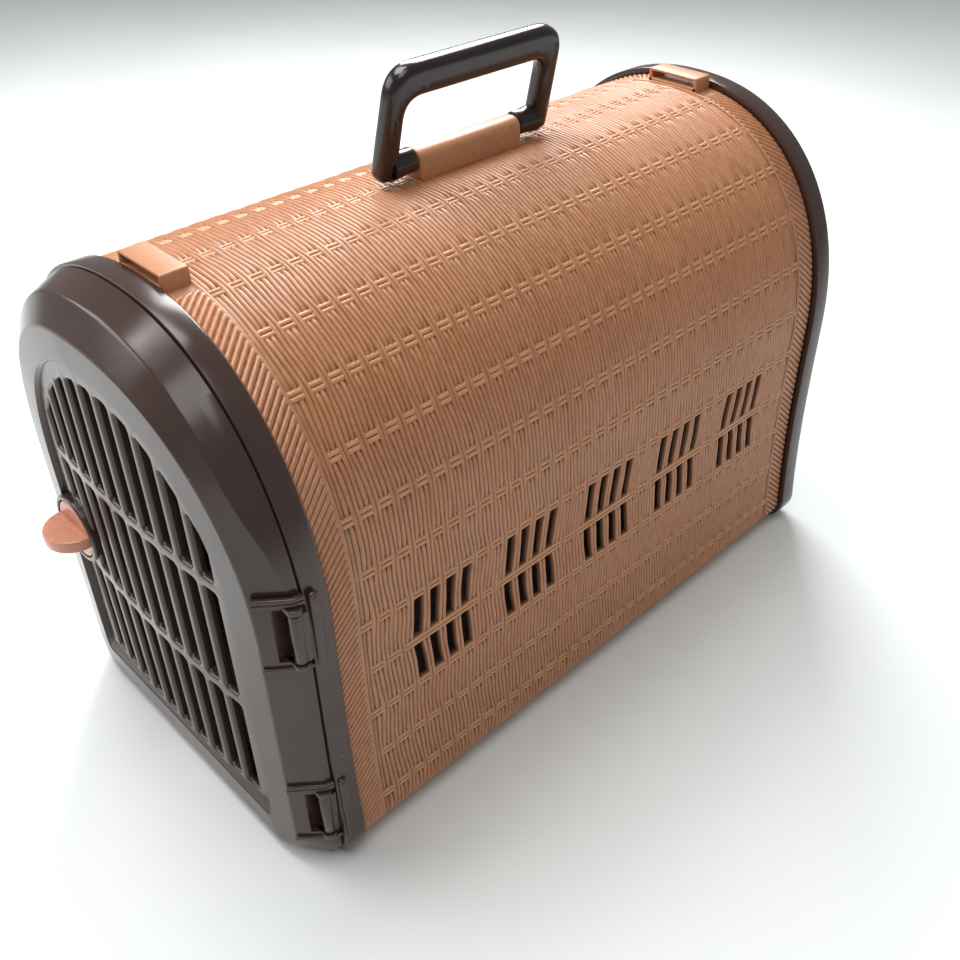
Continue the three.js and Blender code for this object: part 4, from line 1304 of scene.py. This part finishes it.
def latch():
    """The seat on the door, and the knob with its half-round fin. Heights run towards the front."""

    def turned(u, v, h):
        return (LATCH_X + u, -h, LATCH_Z + v)

    r = KNOB_R + 0.7
    seat = lathe(
        [(5.5, SEAT_BACK), (5.5, SEAT_FLOOR), (r - 0.4, SEAT_FLOOR), (r, SEAT_FLOOR + 0.3), (r, 240.0),
         (r + 0.3, 240.5), (r + 1.1, 240.75), (r + 2.5, 240.6), (r + 3.1, 240.1), (r + 3.3, 239.2),
         (r + 3.3, SEAT_BACK)],
        turned, 96)
    piece("latch_seat", seat, "door", DARK)

    r, front = KNOB_R, -KNOB_FRONT_Y
    disc = lathe(
        [(0, STEM_BACK), (5.2, STEM_BACK), (5.2, 237.7), (r - 0.4, 237.7), (r, 238.1), (r, front - 0.9),
         (r - 0.25, front - 0.25), (r - 0.9, front), (r - 4, front + 0.1), (0, front + 0.15)],
        turned, 96)
    piece("knob_disc", disc, "latch", COPPER, ["latch_knob"])

    turn = np.linspace(0, math.pi, 49)
    arc = np.column_stack([(r - 0.2) * np.cos(turn), (r + 0.1) * np.sin(turn)])
    outline = finer(np.vstack([[(r - 0.2, -1.5)], arc, [(-r + 0.2, -1.5)]]), 2)

    def outwards(u, v, h):
        return np.column_stack([LATCH_X + u, -front - v, LATCH_Z + h])

    def crowned(h):
        return lambda u, v: h - 0.0012 * (u * u + (v - 8) ** 2) * np.sign(h)

    fin = slab(anticlockwise(outline), [], crowned(-FIN_HALF), crowned(FIN_HALF), outwards, 1.4, 1.4, 3)
    piece("knob_fin", fin, "latch", COPPER, sharp_deg=60)


# ---- Handle, block and strap loops ----

PIVOT_Z = 345
HANDLE_MIDDLE_Y = 18.5
HANDLE_LEAN = math.radians(14)
HANDLE_HALF_LENGTH = 68.5
HANDLE_TAPER = 2.5
HANDLE_LEG_WIDTH = 13
HANDLE_TOP = 61
GRIP_HEIGHT = 19
HANDLE_FOOT = 7
HANDLE_THICKNESS = 12.5
BLOCK_HALF_LENGTH = 41
SLOT_LOW_CORNER = (18.3, 334.7)  # of the strap's slot: X and Z
SLOT_TOP_Z = 339.4
BOSS_R = 5.5
BOSS_LENGTH = 15


def leaned(u, v, h):
    """A point of the handle drawn upright: u along it, v up, h across."""
    c, s = math.cos(HANDLE_LEAN), math.sin(HANDLE_LEAN)
    return np.column_stack([np.atleast_1d(c * h + s * v), np.atleast_1d(HANDLE_MIDDLE_Y + u),
                            np.atleast_1d(PIVOT_Z + c * v - s * h)])


def handle():
    """The grip with its two legs, and the boss at the foot of each."""
    half, top = HANDLE_HALF_LENGTH, HANDLE_HALF_LENGTH - HANDLE_TAPER
    inner = HANDLE_HALF_LENGTH - HANDLE_LEG_WIDTH
    under = HANDLE_TOP - GRIP_HEIGHT
    corners = [(-half, -HANDLE_FOOT), (-inner, -HANDLE_FOOT), (-inner + 1, under), (inner - 1, under),
               (inner, -HANDLE_FOOT), (half, -HANDLE_FOOT), (top, HANDLE_TOP), (-top, HANDLE_TOP)]
    outline = finer(rounded(corners, [6, 4, 11, 11, 4, 6, 18, 18], 10), 3)

    def face(sign):
        return lambda u, v: sign * (HANDLE_THICKNESS / 2 + 0.25 - 0.0001 * v * v)

    grip = slab(outline, [], face(-1), face(1), leaned, 4.6, 4.6, 3)
    piece("handle_grip", grip, "handle", HANDLE_DARK, ["handle_bail"], sharp_deg=80)
    a, b = BLOCK_HALF_LENGTH + 1, inner + 4
    profile = [(2.9, a), (6.4, a), (7.2, a + 0.3), (7.5, a + 1), (7.4, a + 7), (7.9, a + 11), (8.6, b),
               (2.9, b)]
    for side, label in ((-1, "front"), (1, "rear")):
        boss = lathe(profile, lambda u, v, h: leaned(side * h, v, u)[0], 64)
        piece(f"handle_boss_{label}", boss, "handle", HANDLE_DARK)


def block():
    """The block on the crown that the handle turns on."""
    low, high = span("handle_block")
    corners = [(low[0], low[2]), (high[0], low[2]), (high[0], high[2]), (low[0], high[2])]
    outline = finer(rounded(corners, [0.5, 0.5, 7.5, 7.5], 12), 2)
    shape = slab(outline, [], level(high[1]), level(low[1]), along_y, 1.3, 1.3, 3)
    piece("crown_block", shape, "carrier", TAN_SMOOTH, ["handle_block"], sharp_deg=60)


def strap_loop(label):
    """A flat loop on the crown, with a slot for a shoulder strap."""
    low, high = span(f"strap_loop_{label}")
    half, foot, top = high[0], low[2] - 1.8, high[2]
    corners = [(-half - 0.3, foot), (half + 0.3, foot), (half - 0.3, top), (-half + 0.3, top)]
    outline = finer(rounded(corners, [0.4, 0.4, 1.6, 1.6], 5), 3)
    (x, z0), z1 = SLOT_LOW_CORNER, SLOT_TOP_Z
    slot = finer(rounded([(-x, z0), (x, z0), (x, z1), (-x, z1)], 0.8, 4), 3)
    shape = slab(outline, [slot], level(high[1]), level(low[1]), along_y, 0.7, 0.7, 6)
    piece(f"loop_{label}", shape, "carrier", TAN_SMOOTH, [f"strap_loop_{label}"])


def screw_bosses():
    """Posts inside the shell that the frame's and the cover's screws bite into."""
    front, back = SHELL_LOW[1], SHELL_HIGH[1]
    r, bevel = BOSS_R, 0.3
    for kind, y0, y1 in (("frame", front, front + BOSS_LENGTH), ("cover", back - BOSS_LENGTH, back)):
        profile = [(0, y0), (r - bevel, y0), (r, y0 + bevel), (r, y1 - bevel), (r - bevel, y1), (0, y1)]
        for i, (x, z, _) in enumerate(screw_places(kind)):
            piece(f"boss_{kind}_screw_{i + 1}", lathe(profile, upright_at(x, z), 32), "carrier", TAN_SMOOTH)


def finish_cad_nodes():
    """Gives the CAD nodes that stay in view their material."""
    kept = {"latch_cam": DARK}
    steel_names = ["hinge_pin_upper", "hinge_pin_lower", "latch_washer", "latch_screw", "handle_pivot_front",
                   "handle_pivot_rear", "handle_plate"]
    steel_names += [f"{kind}_screw_{i}" for kind in ("frame", "cover", "handle") for i in range(1, 5)]
    kept.update({name: STEEL for name in steel_names})
    for name, material in kept.items():
        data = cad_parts[name].data
        data.materials.clear()
        data.materials.append(material)


woven_shell()
tray()
screw_bosses()
front_frame()
rear_cover()
door_panel()
hinge_details()
latch()
handle()
block()
strap_loop("front")
strap_loop("rear")
finish_cad_nodes()

# ---- Camera, light and floor ----

CAMERA_PLACE = (0.4586, -0.4069, 0.5691)
CAMERA_RIGHT = (0.6944, 0.7195, -0.0111)
CAMERA_DOWN = (0.4323, -0.4294, -0.7929)
CAMERA_AHEAD = (-0.5753, 0.5458, -0.6092)


def camera():
    data = bpy.data.cameras.new("camera")
    data.sensor_width = 36
    data.lens = 39.57
    data.clip_start = 0.01
    obj = linked("camera", data)
    turn = Matrix([CAMERA_RIGHT, [-c for c in CAMERA_DOWN], [-c for c in CAMERA_AHEAD]]).transposed()
    obj.matrix_world = Matrix.Translation(CAMERA_PLACE) @ turn.to_4x4()
    bpy.context.scene.camera = obj


def softbox(name, place, target, size, power, colour):
    data = bpy.data.lights.new(name, "AREA")
    data.shape = "RECTANGLE"
    data.size, data.size_y = size
    data.energy = power
    data.color = colour
    obj = linked(name, data)
    obj.location = place
    obj.rotation_euler = (Vector(target) - Vector(place)).to_track_quat("-Z", "Y").to_euler()


def floor():
    mesh = bpy.data.meshes.new("floor")
    half = 4.0
    corners = [(-half, -half, 0), (half, -half, 0), (half, half, 0), (-half, half, 0)]
    mesh.from_pydata(corners, [], [(0, 1, 2, 3)])
    n = Nodes("floor_paint")
    cloud = n.noise(3, 2)
    colour = n.mix(n.between(cloud, 0.3, 0.7), linear(236, 242, 242), linear(241, 245, 246))
    mesh.materials.append(n.shade(colour, 0.45))
    obj = linked("floor", mesh)
    obj.location.z = cad_bounds[0][2]


def surroundings():
    world = bpy.data.worlds.new("room")
    bpy.context.scene.world = world
    world.use_nodes = True
    inputs = world.node_tree.nodes["Background"].inputs
    inputs["Color"].default_value = (0.93, 0.95, 0.94, 1)
    inputs["Strength"].default_value = 0.32


camera()
floor()
surroundings()
bpy.context.scene.view_settings.view_transform = "Standard"
softbox("window", (-0.8, 0.76, 1.13), (0, 0, 0.3), (0.75, 0.75), 22, (1, 1, 0.99))
softbox("ceiling", (-0.5, -0.2, 1.8), (0, 0, 0.15), (0.9, 0.9), 19, (1, 0.985, 0.96))
softbox("lamp", (0.5, -0.5, 1.9), (0.1, -0.1, 0.1), (1.0, 1.0), 9, (1, 0.99, 0.97))
softbox("room", (-1.3, -1.3, 1.1), (0, -0.2, 0.2), (1.3, 1.0), 13, (1, 0.96, 0.94))
